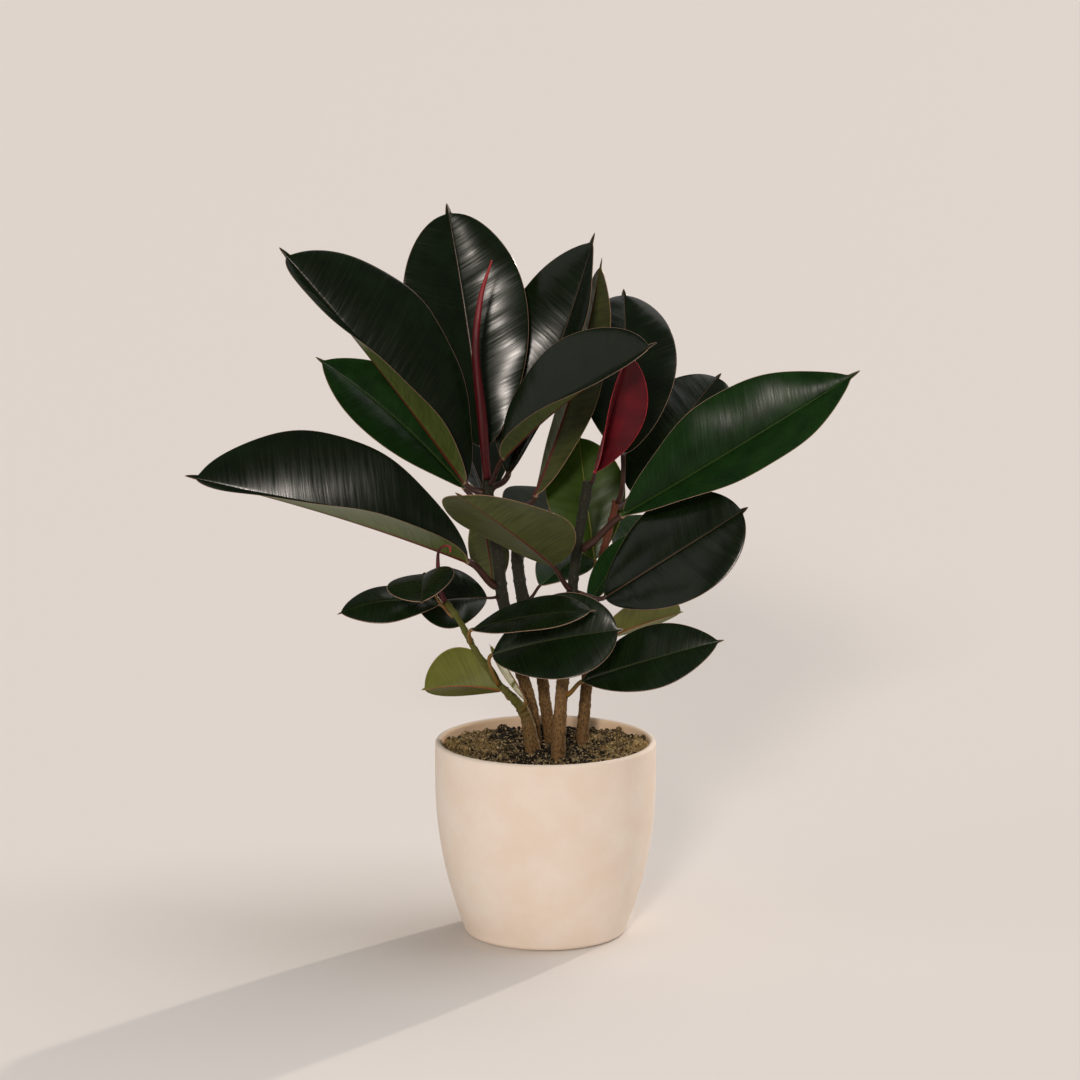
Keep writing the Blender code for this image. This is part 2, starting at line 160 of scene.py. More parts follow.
@dataclass(frozen=True)
class WaxedLeaf(Finish):
    """One face of a rubber plant's leaf: a waxy cuticle over fine, close, parallel side veins.

    The wax gives a smooth sheen, and the veins break that sheen into streaks that run out from
    the midrib.  The underside has less wax, so it is paler and duller.
    """

    ior: float = PLANT_WAX_IOR
    deep: str = "081206"
    pale: str = "101d0b"
    rib: str = "463428"
    margin: str = "846a5a"
    rib_width: float = 0.30         # width of the coloured midrib, as a share of the rib
    margin_mm: float = 0.6          # width of the pale margin
    vein_mm: float = 1.9            # spacing of the fine side veins, drawn coarse enough to show
    vein_run_mm: float = 34.0       # distance outwards over which a vein keeps its strength
    relief_mm: float = 0.06         # depth of the side veins
    streaks: float = 0.14           # change of roughness between veins
    glow: float = 0.0               # share of light that comes through the blade
    glow_tint: str = "6f8a1c"
    wax: float = 0.38               # strength of the wax's shine
    pale_veins: float = 0.35        # how far the fine veins are paler than the blade
    painted_groove_shade: float = 0.0         # share of painted shade in the sunken lines between them
    painted_groove_tint: str = "14120a"      # the near-black tone of that painted shade
    through: float = 0.75           # how far the light that comes through takes its own tint

    def dress(self, tree: bpy.types.NodeTree, shader: bpy.types.Node) -> None:
        """Add the veins, the painted shade between them, and the midrib, margin and patches of tone.

        Args:
            tree: The material's node tree.
            shader: Its main shader.
        """
        place = add_node(tree, "ShaderNodeAttribute", {"attribute_name": "leaf_place"})
        form = add_node(tree, "ShaderNodeAttribute", {"attribute_name": "leaf_form"})
        at = add_node(tree, "ShaderNodeSeparateXYZ", links={0: place.outputs["Vector"]})
        of = add_node(tree, "ShaderNodeSeparateXYZ", links={0: form.outputs["Vector"]})
        away = add_node(tree, "ShaderNodeMath", {"operation": "ABSOLUTE"}, {0: at.outputs[1]})
        run = add_node(tree, "ShaderNodeMath", {"operation": "MULTIPLY_ADD", 1: -VEIN_SLOPE},
                       {0: away.outputs[0], 2: at.outputs[0]})
        lanes = add_node(tree, "ShaderNodeMath", {"operation": "DIVIDE", 1: self.vein_mm},
                         {0: run.outputs[0]})
        reach = add_node(tree, "ShaderNodeMath", {"operation": "DIVIDE", 1: self.vein_run_mm},
                         {0: at.outputs[1]})
        lane = add_node(tree, "ShaderNodeCombineXYZ", {},
                        {0: lanes.outputs[0], 1: reach.outputs[0], 2: of.outputs[2]})
        # Close veins, one noise cell each, drawn out along their own direction.
        fine = add_node(tree, "ShaderNodeTexNoise", {"Scale": 1.0, "Detail": 2.0, "Roughness": 0.6},
                        {"Vector": lane.outputs[0]})
        # Broad ribs about five veins wide, which quilt the blade between its stronger veins.
        broad = add_node(tree, "ShaderNodeTexNoise", {"Scale": 0.22, "Detail": 1.0},
                         {"Vector": lane.outputs[0]})
        # Patches of tone about 20 mm across.
        tone = add_node(tree, "ShaderNodeTexNoise", {"Scale": 0.05, "Detail": 3.0},
                        {"Vector": place.outputs["Vector"]})
        shift = add_node(tree, "ShaderNodeMapRange", {1: 0.25, 2: 0.75}, {0: tone.outputs[0]})
        blade = add_node(tree, "ShaderNodeMix", {"data_type": "RGBA", 6: linear(self.deep),
                                                 7: linear(self.pale)}, {0: shift.outputs[0]})
        veins = add_node(tree, "ShaderNodeMapRange", {1: 0.52, 2: 0.75, 3: 0.0, 4: self.pale_veins},
                         {0: fine.outputs[0]})
        lined = add_node(tree, "ShaderNodeMix", {"data_type": "RGBA", 7: linear(self.pale)},
                         {0: veins.outputs[0], 6: blade.outputs[2]})
        # Painted shade: the sunken lines between the veins, low in the relief, are darkened towards a
        # near-black tone.
        groove_shade_mask = add_node(tree, "ShaderNodeMapRange", {1: 0.54, 2: 0.38, 3: 0.0, 4: self.painted_groove_shade},
                        {0: fine.outputs[0]})
        veined = add_node(tree, "ShaderNodeMix", {"data_type": "RGBA", 7: linear(self.painted_groove_tint)},
                          {0: groove_shade_mask.outputs[0], 6: lined.outputs[2]})
        in_rib = add_node(tree, "ShaderNodeMapRange",
                          {"interpolation_type": "SMOOTHSTEP", 1: self.rib_width,
                           2: self.rib_width * 1.7, 3: 1.0, 4: 0.0}, {0: of.outputs[1]})
        ribbed = add_node(tree, "ShaderNodeMix", {"data_type": "RGBA", 7: linear(self.rib)},
                          {0: in_rib.outputs[0], 6: veined.outputs[2]})
        at_edge = add_node(tree, "ShaderNodeMapRange", {1: self.margin_mm * 0.5, 2: self.margin_mm,
                                                        3: 1.0, 4: 0.0}, {0: at.outputs[2]})
        edged = add_node(tree, "ShaderNodeMix", {"data_type": "RGBA", 7: linear(self.margin)},
                         {0: at_edge.outputs[0], 6: ribbed.outputs[2]})
        tree.links.new(edged.outputs[2], shader.inputs["Base Color"])
        swing = self.streaks / 2
        shine = add_node(tree, "ShaderNodeMapRange",
                         {1: 0.3, 2: 0.7, 3: self.roughness - swing, 4: self.roughness + swing},
                         {0: fine.outputs[0]})
        tree.links.new(shine.outputs[0], shader.inputs["Roughness"])
        height = add_node(tree, "ShaderNodeMath", {"operation": "MULTIPLY_ADD", 1: 2.5},
                          {0: broad.outputs[0], 2: fine.outputs[0]})
        bump = add_node(tree, "ShaderNodeBump", {"Strength": 1.0, "Distance": self.relief_mm * MM},
                        {"Height": height.outputs[0]})
        tree.links.new(bump.outputs[0], shader.inputs["Normal"])
        shader.inputs["Specular IOR Level"].default_value = self.wax
        if self.glow:
            tint = add_node(tree, "ShaderNodeMix",
                            {"data_type": "RGBA", 0: self.through, 7: linear(self.glow_tint)},
                            {6: edged.outputs[2]})
            leaf_light = add_node(tree, "ShaderNodeBsdfTranslucent", {}, {"Color": tint.outputs[2]})
            both = add_node(tree, "ShaderNodeMixShader", {0: self.glow},
                            {1: shader.outputs[0], 2: leaf_light.outputs[0]})
            tree.links.new(both.outputs[0], tree.nodes["Material Output"].inputs["Surface"])


@dataclass(frozen=True)
class LeafUnderside(WaxedLeaf):
    """The underside of a leaf: paler and duller, with stronger veins and a broad midrib."""

    roughness: float = 0.50
    margin: str = "98785a"
    rib_width: float = 0.55
    relief_mm: float = 0.45
    streaks: float = 0.06


@dataclass(frozen=True)
class YoungLeaf(WaxedLeaf):
    """One face of a leaf that is just opening: thin, soft and red, with a brighter margin."""

    margin: str = "d83844"
    relief_mm: float = 0.08
    glow: float = 0.10
    glow_tint: str = "c01020"
    wax: float = 0.25


@dataclass(frozen=True)
class StalkSkin(Finish):
    """The skin of a leaf stalk: smooth, satin and faintly ribbed along its length."""

    ior: float = PLANT_WAX_IOR
    deep: str = "2a1410"
    pale: str = "4a1f16"

    def dress(self, tree: bpy.types.NodeTree, shader: bpy.types.Node) -> None:
        """Add long streaks of tone and fine ribs.

        Args:
            tree: The material's node tree.
            shader: Its main shader.
        """
        place = add_node(tree, "ShaderNodeAttribute", {"attribute_name": "leaf_place"})
        # Streaks about 1 mm wide and 12 mm long.
        long = add_node(tree, "ShaderNodeMapping", {"Scale": (0.08, 1.0, 1.0)},
                        {"Vector": place.outputs["Vector"]})
        streak = add_node(tree, "ShaderNodeTexNoise", {"Scale": 1.0, "Detail": 3.0},
                          {"Vector": long.outputs[0]})
        share = add_node(tree, "ShaderNodeMapRange", {1: 0.35, 2: 0.65}, {0: streak.outputs[0]})
        tint = add_node(tree, "ShaderNodeMix", {"data_type": "RGBA", 6: linear(self.deep),
                                                7: linear(self.pale)}, {0: share.outputs[0]})
        tree.links.new(tint.outputs[2], shader.inputs["Base Color"])
        bump = add_node(tree, "ShaderNodeBump", {"Strength": 0.5, "Distance": 0.2 * MM},
                        {"Height": streak.outputs[0]})
        tree.links.new(bump.outputs[0], shader.inputs["Normal"])


@dataclass(frozen=True)
class RolledSheath(Finish):
    """The red sheath of a new leaf: thin and satin, deep burgundy with a lighter tip."""

    ior: float = PLANT_WAX_IOR
    deep: str = "36050a"
    pale: str = "620a14"
    tip: str = "a41822"

    def dress(self, tree: bpy.types.NodeTree, shader: bpy.types.Node) -> None:
        """Add long streaks, and the lighter tip.

        Args:
            tree: The material's node tree.
            shader: Its main shader.
        """
        form = add_node(tree, "ShaderNodeAttribute", {"attribute_name": "leaf_form"})
        place = add_node(tree, "ShaderNodeAttribute", {"attribute_name": "leaf_place"})
        of = add_node(tree, "ShaderNodeSeparateXYZ", links={0: form.outputs["Vector"]})
        # Streaks about 1.5 mm wide and 30 mm long.
        long = add_node(tree, "ShaderNodeMapping", {"Scale": (0.03, 0.7, 0.7)},
                        {"Vector": place.outputs["Vector"]})
        streak = add_node(tree, "ShaderNodeTexNoise", {"Scale": 1.0, "Detail": 4.0},
                          {"Vector": long.outputs[0]})
        share = add_node(tree, "ShaderNodeMapRange", {1: 0.35, 2: 0.7}, {0: streak.outputs[0]})
        tint = add_node(tree, "ShaderNodeMix", {"data_type": "RGBA", 6: linear(self.deep),
                                                7: linear(self.pale)}, {0: share.outputs[0]})
        ending = add_node(tree, "ShaderNodeMapRange", {1: 0.55, 2: 1.0}, {0: of.outputs[0]})
        tipped = add_node(tree, "ShaderNodeMix", {"data_type": "RGBA", 7: linear(self.tip)},
                          {0: ending.outputs[0], 6: tint.outputs[2]})
        tree.links.new(tipped.outputs[2], shader.inputs["Base Color"])
        bump = add_node(tree, "ShaderNodeBump", {"Strength": 0.6, "Distance": 0.25 * MM},
                        {"Height": streak.outputs[0]})
        tree.links.new(bump.outputs[0], shader.inputs["Normal"])


@dataclass(frozen=True)
class CaneBark(Finish):
    """Young bark: rough, corky and brown low down, green and smoother where the cane is new."""

    old: str = "8c6a3e"
    crack: str = "402c16"
    fresh: str = "1f2010"
    pore: str = "84704a"
    turn_mm: float = 75.0           # height above the soil at which bark gives way to green skin

    def dress(self, tree: bpy.types.NodeTree, shader: bpy.types.Node) -> None:
        """Add cork cells, pores and the change from bark to green skin.

        Args:
            tree: The material's node tree.
            shader: Its main shader.
        """
        place = add_node(tree, "ShaderNodeAttribute", {"attribute_name": "cane_place"})
        at = add_node(tree, "ShaderNodeSeparateXYZ", links={0: place.outputs["Vector"]})
        solid = add_node(tree, "ShaderNodeTexCoord")
        # Cork cells about 1.4 mm across, drawn a little longer up the cane.
        stretch = add_node(tree, "ShaderNodeMapping", {"Scale": (700, 700, 420)},
                           {"Vector": solid.outputs["Object"]})
        cork = add_node(tree, "ShaderNodeTexNoise", {"Scale": 1.0, "Detail": 5.0, "Roughness": 0.65},
                        {"Vector": stretch.outputs[0]})
        # Pores about 0.6 mm across and 3 mm apart.
        pores = add_node(tree, "ShaderNodeTexVoronoi", {"Scale": 330.0},
                         {"Vector": solid.outputs["Object"]})
        wander = add_node(tree, "ShaderNodeTexNoise", {"Scale": 60.0, "Detail": 3.0},
                          {"Vector": solid.outputs["Object"]})
        drift = add_node(tree, "ShaderNodeMath", {"operation": "MULTIPLY_ADD", 1: 90.0},
                         {0: wander.outputs[0], 2: at.outputs[0]})
        age = add_node(tree, "ShaderNodeMapRange", {"interpolation_type": "SMOOTHSTEP",
                                                    1: self.turn_mm + 15, 2: self.turn_mm + 85},
                       {0: drift.outputs[0]})
        share = add_node(tree, "ShaderNodeMapRange", {1: 0.35, 2: 0.62}, {0: cork.outputs[0]})
        bark = add_node(tree, "ShaderNodeMix", {"data_type": "RGBA", 6: linear(self.crack),
                                                7: linear(self.old)}, {0: share.outputs[0]})
        skin = add_node(tree, "ShaderNodeMix", {"data_type": "RGBA", 7: linear(self.fresh)},
                        {0: age.outputs[0], 6: bark.outputs[2]})
        spot = add_node(tree, "ShaderNodeMapRange", {1: 0.06, 2: 0.20, 3: 0.5, 4: 0.0},
                        {0: pores.outputs["Distance"]})
        dotted = add_node(tree, "ShaderNodeMix", {"data_type": "RGBA", 7: linear(self.pore)},
                          {0: spot.outputs[0], 6: skin.outputs[2]})
        tree.links.new(dotted.outputs[2], shader.inputs["Base Color"])
        depth = add_node(tree, "ShaderNodeMapRange", {1: 0.0, 2: 1.0, 3: 1.0, 4: 0.25},
                         {0: age.outputs[0]})
        rough = add_node(tree, "ShaderNodeMath", {"operation": "MULTIPLY"},
                         {0: cork.outputs[0], 1: depth.outputs[0]})
        bump = add_node(tree, "ShaderNodeBump", {"Strength": 0.9, "Distance": 0.6 * MM},
                        {"Height": rough.outputs[0]})
        tree.links.new(bump.outputs[0], shader.inputs["Normal"])


@dataclass(frozen=True)
class PottingSoil(Finish):
    """Peat potting mix: dull, crumbly and dark, with tan bits of bark and root in it."""

    wet: str = "1a1309"
    dry: str = "a48a5a"
    bit: str = "ccb688"

    def dress(self, tree: bpy.types.NodeTree, shader: bpy.types.Node) -> None:
        """Add tone from crumb to crumb and the paler bits.

        Args:
            tree: The material's node tree.
            shader: Its main shader.
        """
        solid = add_node(tree, "ShaderNodeTexCoord")
        # Crumbs about 2 mm across, in damp and dry patches about 20 mm across.
        grain = add_node(tree, "ShaderNodeTexNoise", {"Scale": 480.0, "Detail": 5.0, "Roughness": 0.7},
                         {"Vector": solid.outputs["Object"]})
        damp = add_node(tree, "ShaderNodeTexNoise", {"Scale": 45.0, "Detail": 3.0},
                        {"Vector": solid.outputs["Object"]})
        share = add_node(tree, "ShaderNodeMath", {"operation": "MULTIPLY_ADD", 1: 0.8},
                         {0: damp.outputs[0], 2: grain.outputs[0]})
        # Lighter towards the heaped sides at left and right, darker in the hollow round the canes.
        at = add_node(tree, "ShaderNodeSeparateXYZ", links={0: solid.outputs["Object"]})
        aside = add_node(tree, "ShaderNodeMath", {"operation": "ABSOLUTE"}, {0: at.outputs[0]})
        heaped = add_node(tree, "ShaderNodeMapRange", {1: 0.015, 2: 0.055, 3: -0.16, 4: 0.03},
                          {0: aside.outputs[0]})
        side_toned = add_node(tree, "ShaderNodeMath", {"operation": "ADD"},
                         {0: share.outputs[0], 1: heaped.outputs[0]})
        dryness = add_node(tree, "ShaderNodeMapRange", {1: 0.84, 2: 1.06}, {0: side_toned.outputs[0]})
        earth = add_node(tree, "ShaderNodeMix", {"data_type": "RGBA", 6: linear(self.wet),
                                                 7: linear(self.dry)}, {0: dryness.outputs[0]})
        # Pale bits about 1 mm across, one crumb in eight.
        bits = add_node(tree, "ShaderNodeTexVoronoi", {"Scale": 700.0},
                        {"Vector": solid.outputs["Object"]})
        pick = add_node(tree, "ShaderNodeSeparateColor", links={0: bits.outputs["Color"]})
        rare = add_node(tree, "ShaderNodeMapRange", {1: 0.86, 2: 0.92, 3: 0.0, 4: 0.8},
                        {0: pick.outputs[0]})
        mixed = add_node(tree, "ShaderNodeMix", {"data_type": "RGBA", 7: linear(self.bit)},
                         {0: rare.outputs[0], 6: earth.outputs[2]})
        tree.links.new(mixed.outputs[2], shader.inputs["Base Color"])
        bump = add_node(tree, "ShaderNodeBump", {"Strength": 1.0, "Distance": 0.8 * MM},
                        {"Height": grain.outputs[0]})
        tree.links.new(bump.outputs[0], shader.inputs["Normal"])


@dataclass(frozen=True)
class FibreClay(Finish):
    """Cast fibre clay, sanded and left bare: dry and matt, with a fine sandy grain.

    The grain keeps highlights off it, and cloudy patches show where the cast dried unevenly.
    """

    base: str = "f0dfce"
    light: str = "f5e9dd"
    speck: str = "e4ceb8"
    # the inside wall's tone, which is painted shade and warm bounced light
    inner: str = "f0cda6"
    wall_m: float = 0.0862          # radius at which the inside gives way to the rim
    soften_m: float = 0.0012        # width of that change
    upper_m: float = 0.135          # height above which only the inside is within that radius

    def dress(self, tree: bpy.types.NodeTree, shader: bpy.types.Node) -> None:
        """Add cloudy patches, the painted shade inside the rim, fine specks and sandy grain.

        Args:
            tree: The material's node tree.
            shader: Its main shader.
        """
        solid = add_node(tree, "ShaderNodeTexCoord")
        # Cloudy patches about 40 mm across.
        cloud = add_node(tree, "ShaderNodeTexNoise", {"Scale": 24.0, "Detail": 4.0, "Roughness": 0.6},
                         {"Vector": solid.outputs["Object"]})
        # Sand grains about 0.8 mm, drawn coarser than they are so that they show.
        sand = add_node(tree, "ShaderNodeTexNoise", {"Scale": 1200.0, "Detail": 3.0, "Roughness": 0.7},
                        {"Vector": solid.outputs["Object"]})
        patches = add_node(tree, "ShaderNodeMapRange", {1: 0.35, 2: 0.68}, {0: cloud.outputs[0]})
        body = add_node(tree, "ShaderNodeMix", {"data_type": "RGBA", 6: linear(self.base),
                                                7: linear(self.light)}, {0: patches.outputs[0]})
        # Painted shade and warm bounced light: the inside wall below the rim is given a warmer, deeper
        # tone.
        flat = add_node(tree, "ShaderNodeVectorMath", {"operation": "MULTIPLY", 1: (1.0, 1.0, 0.0)},
                        {0: solid.outputs["Object"]})
        reach = add_node(tree, "ShaderNodeVectorMath", {"operation": "LENGTH"}, {0: flat.outputs[0]})
        inside = add_node(tree, "ShaderNodeMapRange",
                          {1: self.wall_m - self.soften_m, 2: self.wall_m, 3: 0.75, 4: 0.0},
                          {0: reach.outputs["Value"]})
        tall = add_node(tree, "ShaderNodeSeparateXYZ", links={0: solid.outputs["Object"]})
        upper = add_node(tree, "ShaderNodeMath", {"operation": "GREATER_THAN", 1: self.upper_m},
                         {0: tall.outputs[2]})
        inside_painted_shade = add_node(tree, "ShaderNodeMath", {"operation": "MULTIPLY"},
                          {0: inside.outputs[0], 1: upper.outputs[0]})
        lined = add_node(tree, "ShaderNodeMix", {"data_type": "RGBA", 7: linear(self.inner)},
                         {0: inside_painted_shade.outputs[0], 6: body.outputs[2]})
        dots = add_node(tree, "ShaderNodeMapRange", {1: 0.58, 2: 0.74, 3: 0.0, 4: 0.5},
                        {0: sand.outputs[0]})
        specked = add_node(tree, "ShaderNodeMix", {"data_type": "RGBA", 7: linear(self.speck)},
                           {0: dots.outputs[0], 6: lined.outputs[2]})
        tree.links.new(specked.outputs[2], shader.inputs["Base Color"])
        bump = add_node(tree, "ShaderNodeBump", {"Strength": 0.5, "Distance": 0.25 * MM},
                        {"Height": sand.outputs[0]})
        tree.links.new(bump.outputs[0], shader.inputs["Normal"])


@dataclass(frozen=True)
class StudioFloor(Finish):
    """The plain pale floor under the plant, which isn't part of it."""

    base: str = "e0dcd8"

    def dress(self, tree: bpy.types.NodeTree, shader: bpy.types.Node) -> None:
        """Give the floor its one pale tone."""
        shader.inputs["Base Color"].default_value = linear(self.base)
        shader.inputs["Specular IOR Level"].default_value = 0.1


OLD_TOP = WaxedLeaf("waxed_leaf_top_old", 0.22, wax=0.30)
GREEN_TOP = WaxedLeaf("waxed_leaf_top_green", 0.27, deep="11250e", pale="1c3816", rib="35481f",
                      margin="a08672", glow=0.05, wax=0.09)
SHOOT_TOP = WaxedLeaf("waxed_leaf_top_shoot", 0.27, deep="0b1608", pale="14240e", rib="303a1c",
                      margin="947a68", glow=0.04, wax=0.35)
FRESH_TOP = WaxedLeaf("waxed_leaf_top_fresh", 0.34, deep="2c4010", pale="456018", rib="8a8a42",
                      margin="a0904c", glow=0.35)
OLD_UNDER = LeafUnderside("waxed_leaf_under_old", deep="3e441c", pale="4c5226", rib="562018",
                          painted_groove_shade=0.30)
PALE_UNDER = LeafUnderside("waxed_leaf_under_pale", deep="4c5824", pale="5c6a32", rib="5c2a1c",
                           relief_mm=0.40, painted_groove_shade=0.25)
FRESH_UNDER = LeafUnderside("waxed_leaf_under_fresh", deep="62661e", pale="787c32", rib="96502c",
                            margin="a0904c", relief_mm=0.30, glow=0.15, painted_groove_shade=0.15)
RED_OUTER = YoungLeaf("young_leaf_back", 0.45, deep="4c0610", pale="780a18", rib="a01020", streaks=0.08)
RED_INNER = YoungLeaf("young_leaf_face", 0.42, deep="3c0610", pale="6c0a18", rib="8c0e1c")
RED_STALK = StalkSkin("leaf_stalk_red", 0.46, deep="26120a", pale="442012")
GREEN_STALK = StalkSkin("leaf_stalk_green", 0.46, deep="5a5a1c", pale="8a5226")
SHEATH = RolledSheath("rolled_sheath", 0.46)
BARK = CaneBark("cane_bark", 0.82, 1.45)
RIGHT_BARK = CaneBark("thin_cane_bark", 0.78, 1.45, fresh="5a2a14", turn_mm=70.0)
SIDE_BARK = CaneBark("side_shoot_bark", 0.76, 1.45, fresh="54561c", turn_mm=30.0)
EARTH = PottingSoil("potting_soil", 0.95, 1.4)
ROOT_BITS = StalkSkin("dry_root_fibre", 0.85, 1.4, deep="7a6140", pale="bfa67c")
CLAY = FibreClay("fibre_clay_bare", 0.86, 1.5)


class Tone(Enum):
    """The finishes of a leaf: its upper face, underside and stalk."""

    OLD = (OLD_TOP, OLD_UNDER, RED_STALK)
    LARGE = (OLD_TOP, PALE_UNDER, RED_STALK)
    GREEN = (GREEN_TOP, PALE_UNDER, RED_STALK)
    SHOOT = (SHOOT_TOP, OLD_UNDER, GREEN_STALK)
    FRESH = (FRESH_TOP, FRESH_UNDER, GREEN_STALK)
    RED = (RED_INNER, RED_OUTER, RED_STALK)


# ---- mesh making

class Draft:
    """The points, faces and notes of one piece, gathered before its mesh is made."""

    def __init__(self) -> None:
        """Start an empty draft."""
        self.points: Section = []
        self.faces: list[tuple[int, ...]] = []
        self.slots: list[int] = []
        self.notes: dict[str, list[Triple]] = {}

    def ring(self, points: Section, **notes: list[Triple]) -> list[int]:
        """Add a row of points.

        Args:
            points: The points.
            **notes: For each named attribute, three numbers for each point.

        Returns:
            The points' numbers.
        """
        start = len(self.points)
        self.points += points
        for name, values in notes.items():
            self.notes.setdefault(name, []).extend(values)
        return list(range(start, len(self.points)))

    def face(self, corners: tuple[int, ...], slot: int = 0) -> None:
        """Add one face."""
        self.faces.append(corners)
        self.slots.append(slot)

    def band(self, low: list[int], high: list[int], slots: list[int] | int = 0) -> None:
        """Join two closed rows of points.

        Args:
            low: The first row.
            high: The second row, with as many points.
            slots: The finish's number, for all faces or for each.
        """
        for i in range(len(low)):
            j = (i + 1) % len(low)
            self.face((low[i], low[j], high[j], high[i]), slots if isinstance(slots, int) else slots[i])

    def tube(self, rings: list[list[int]]) -> None:
        """Join a row of closed rings and cap both ends.

        Args:
            rings: The numbers of each ring's points.
        """
        for low, high in zip(rings, rings[1:]):
            self.band(low, high)
        self.face(tuple(reversed(rings[0])))
        self.face(tuple(rings[-1]))

    def piece(self, name: str, finishes: list[Finish], smooth: bool = True) -> bpy.types.Object:
        """Make the piece's object.

        Args:
            name: The object's name.
            finishes: The finishes that the faces' numbers stand for.
            smooth: Whether the piece is smooth shaded.

        Returns:
            The object, linked to the scene.
        """
        mesh = bpy.data.meshes.new(name)
        mesh.from_pydata(self.points, [], self.faces)
        mesh.polygons.foreach_set("material_index", self.slots)
        mesh.polygons.foreach_set("use_smooth", [smooth] * len(self.faces))
        for title, values in self.notes.items():
            layer = mesh.attributes.new(title, "FLOAT_VECTOR", "POINT")
            layer.data.foreach_set("vector", [number for value in values for number in value])
        for finish in finishes:
            mesh.materials.append(finish.material())
        mesh.validate()
        return add_object(name, mesh)


def add_object(name: str, data: bpy.types.ID) -> bpy.types.Object:
    """Add an object to the scene.

    Args:
        name: The object's name.
        data: Its mesh, camera or light.

    Returns:
        The new object.
    """
    made = bpy.data.objects.new(name, data)
    bpy.context.scene.collection.objects.link(made)
    return made


def settle(piece: bpy.types.Object, slot: str, *nodes: str) -> None:
    """Hide the frame's nodes that a piece replaces, and let it ride with the plant.

    Args:
        piece: The finished piece.
        slot: The record's material slot for the piece; not used.
        *nodes: The nodes of the frame that it replaces.
    """
    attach(piece, BODY)
    if nodes:
        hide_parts(*nodes)
    LOG.info("%s: %d faces", piece.name, len(piece.data.polygons))


# ---- directions and curves

def unit(vector: Vector) -> Vector:
    """Return the vector at length one."""
    return vector.normalized()


def ease(share: float) -> float:
    """Return a smooth step from 0 to 1."""
    share = min(1.0, max(0.0, share))
    return share * share * (3 - 2 * share)


def turns(count: int, start: float = 0.0) -> list[float]:
    """Return the angles of a full turn in equal steps, the first at a start given in steps."""
    return [2 * pi * (i + start) / count for i in range(count)]


def polar(radius: float, angle: float, height: float = 0.0) -> Vector:
    """Return the point at this distance and angle round the upright axis."""
    return Vector((radius * cos(angle), radius * sin(angle), height))


def spoke(side: Vector, face: Vector, angle: float) -> Vector:
    """Return the direction at this angle from side towards face."""
    return side * cos(angle) + face * sin(angle)


def smooth_points(points: Section, steps: int) -> Section:
    """Put a smooth curve through points.

    Args:
        points: The points, of any number of dimensions.
        steps: Points on each span.

    Returns:
        The curve's points, the last given one included.
    """
    ends = [2 * points[0] - points[1]] + list(points) + [2 * points[-1] - points[-2]]
    found = []
    for i in range(1, len(ends) - 2):
        before, start, end, after = ends[i - 1:i + 3]
        for step in range(steps):
            t = step / steps
            bend = start * 2 + (end - before) * t
            bend += (before * 2 - start * 5 + end * 4 - after) * t ** 2
            bend += (start * 3 - before - end * 3 + after) * t ** 3
            found.append(bend / 2)
    return found + [points[-1].copy()]


def carried_frames(points: Section, side: Vector) -> list[tuple[Vector, Vector]]:
    """Carry a pair of directions along a line without twisting it.

    Args:
        points: The line's points.
        side: The side direction to start from.

    Returns:
        The side and face directions at each point.
    """
    frames = []
    for i in range(len(points)):
        ahead = unit(points[min(i + 1, len(points) - 1)] - points[max(i - 1, 0)])
        side = unit(side - ahead * side.dot(ahead))
        frames.append((side, side.cross(ahead)))
    return frames


def heading_frame(heading: float, pitch: float, roll: float) -> Trio:
    """Work out the directions of a blade.

    Args:
        heading: Its heading.
        pitch: Its pitch.
        roll: How far its face rolls to its left side.

    Returns:
        Its forward, side and face directions.
    """
    h, p, r = radians(heading), radians(pitch), radians(roll)
    forward = Vector((cos(p) * cos(h), cos(p) * sin(h), sin(p)))
    up = Vector((-sin(p) * cos(h), -sin(p) * sin(h), cos(p)))
    face = up * cos(r) + up.cross(forward) * sin(r)
    return forward, forward.cross(face), face


# ---- planter and soil

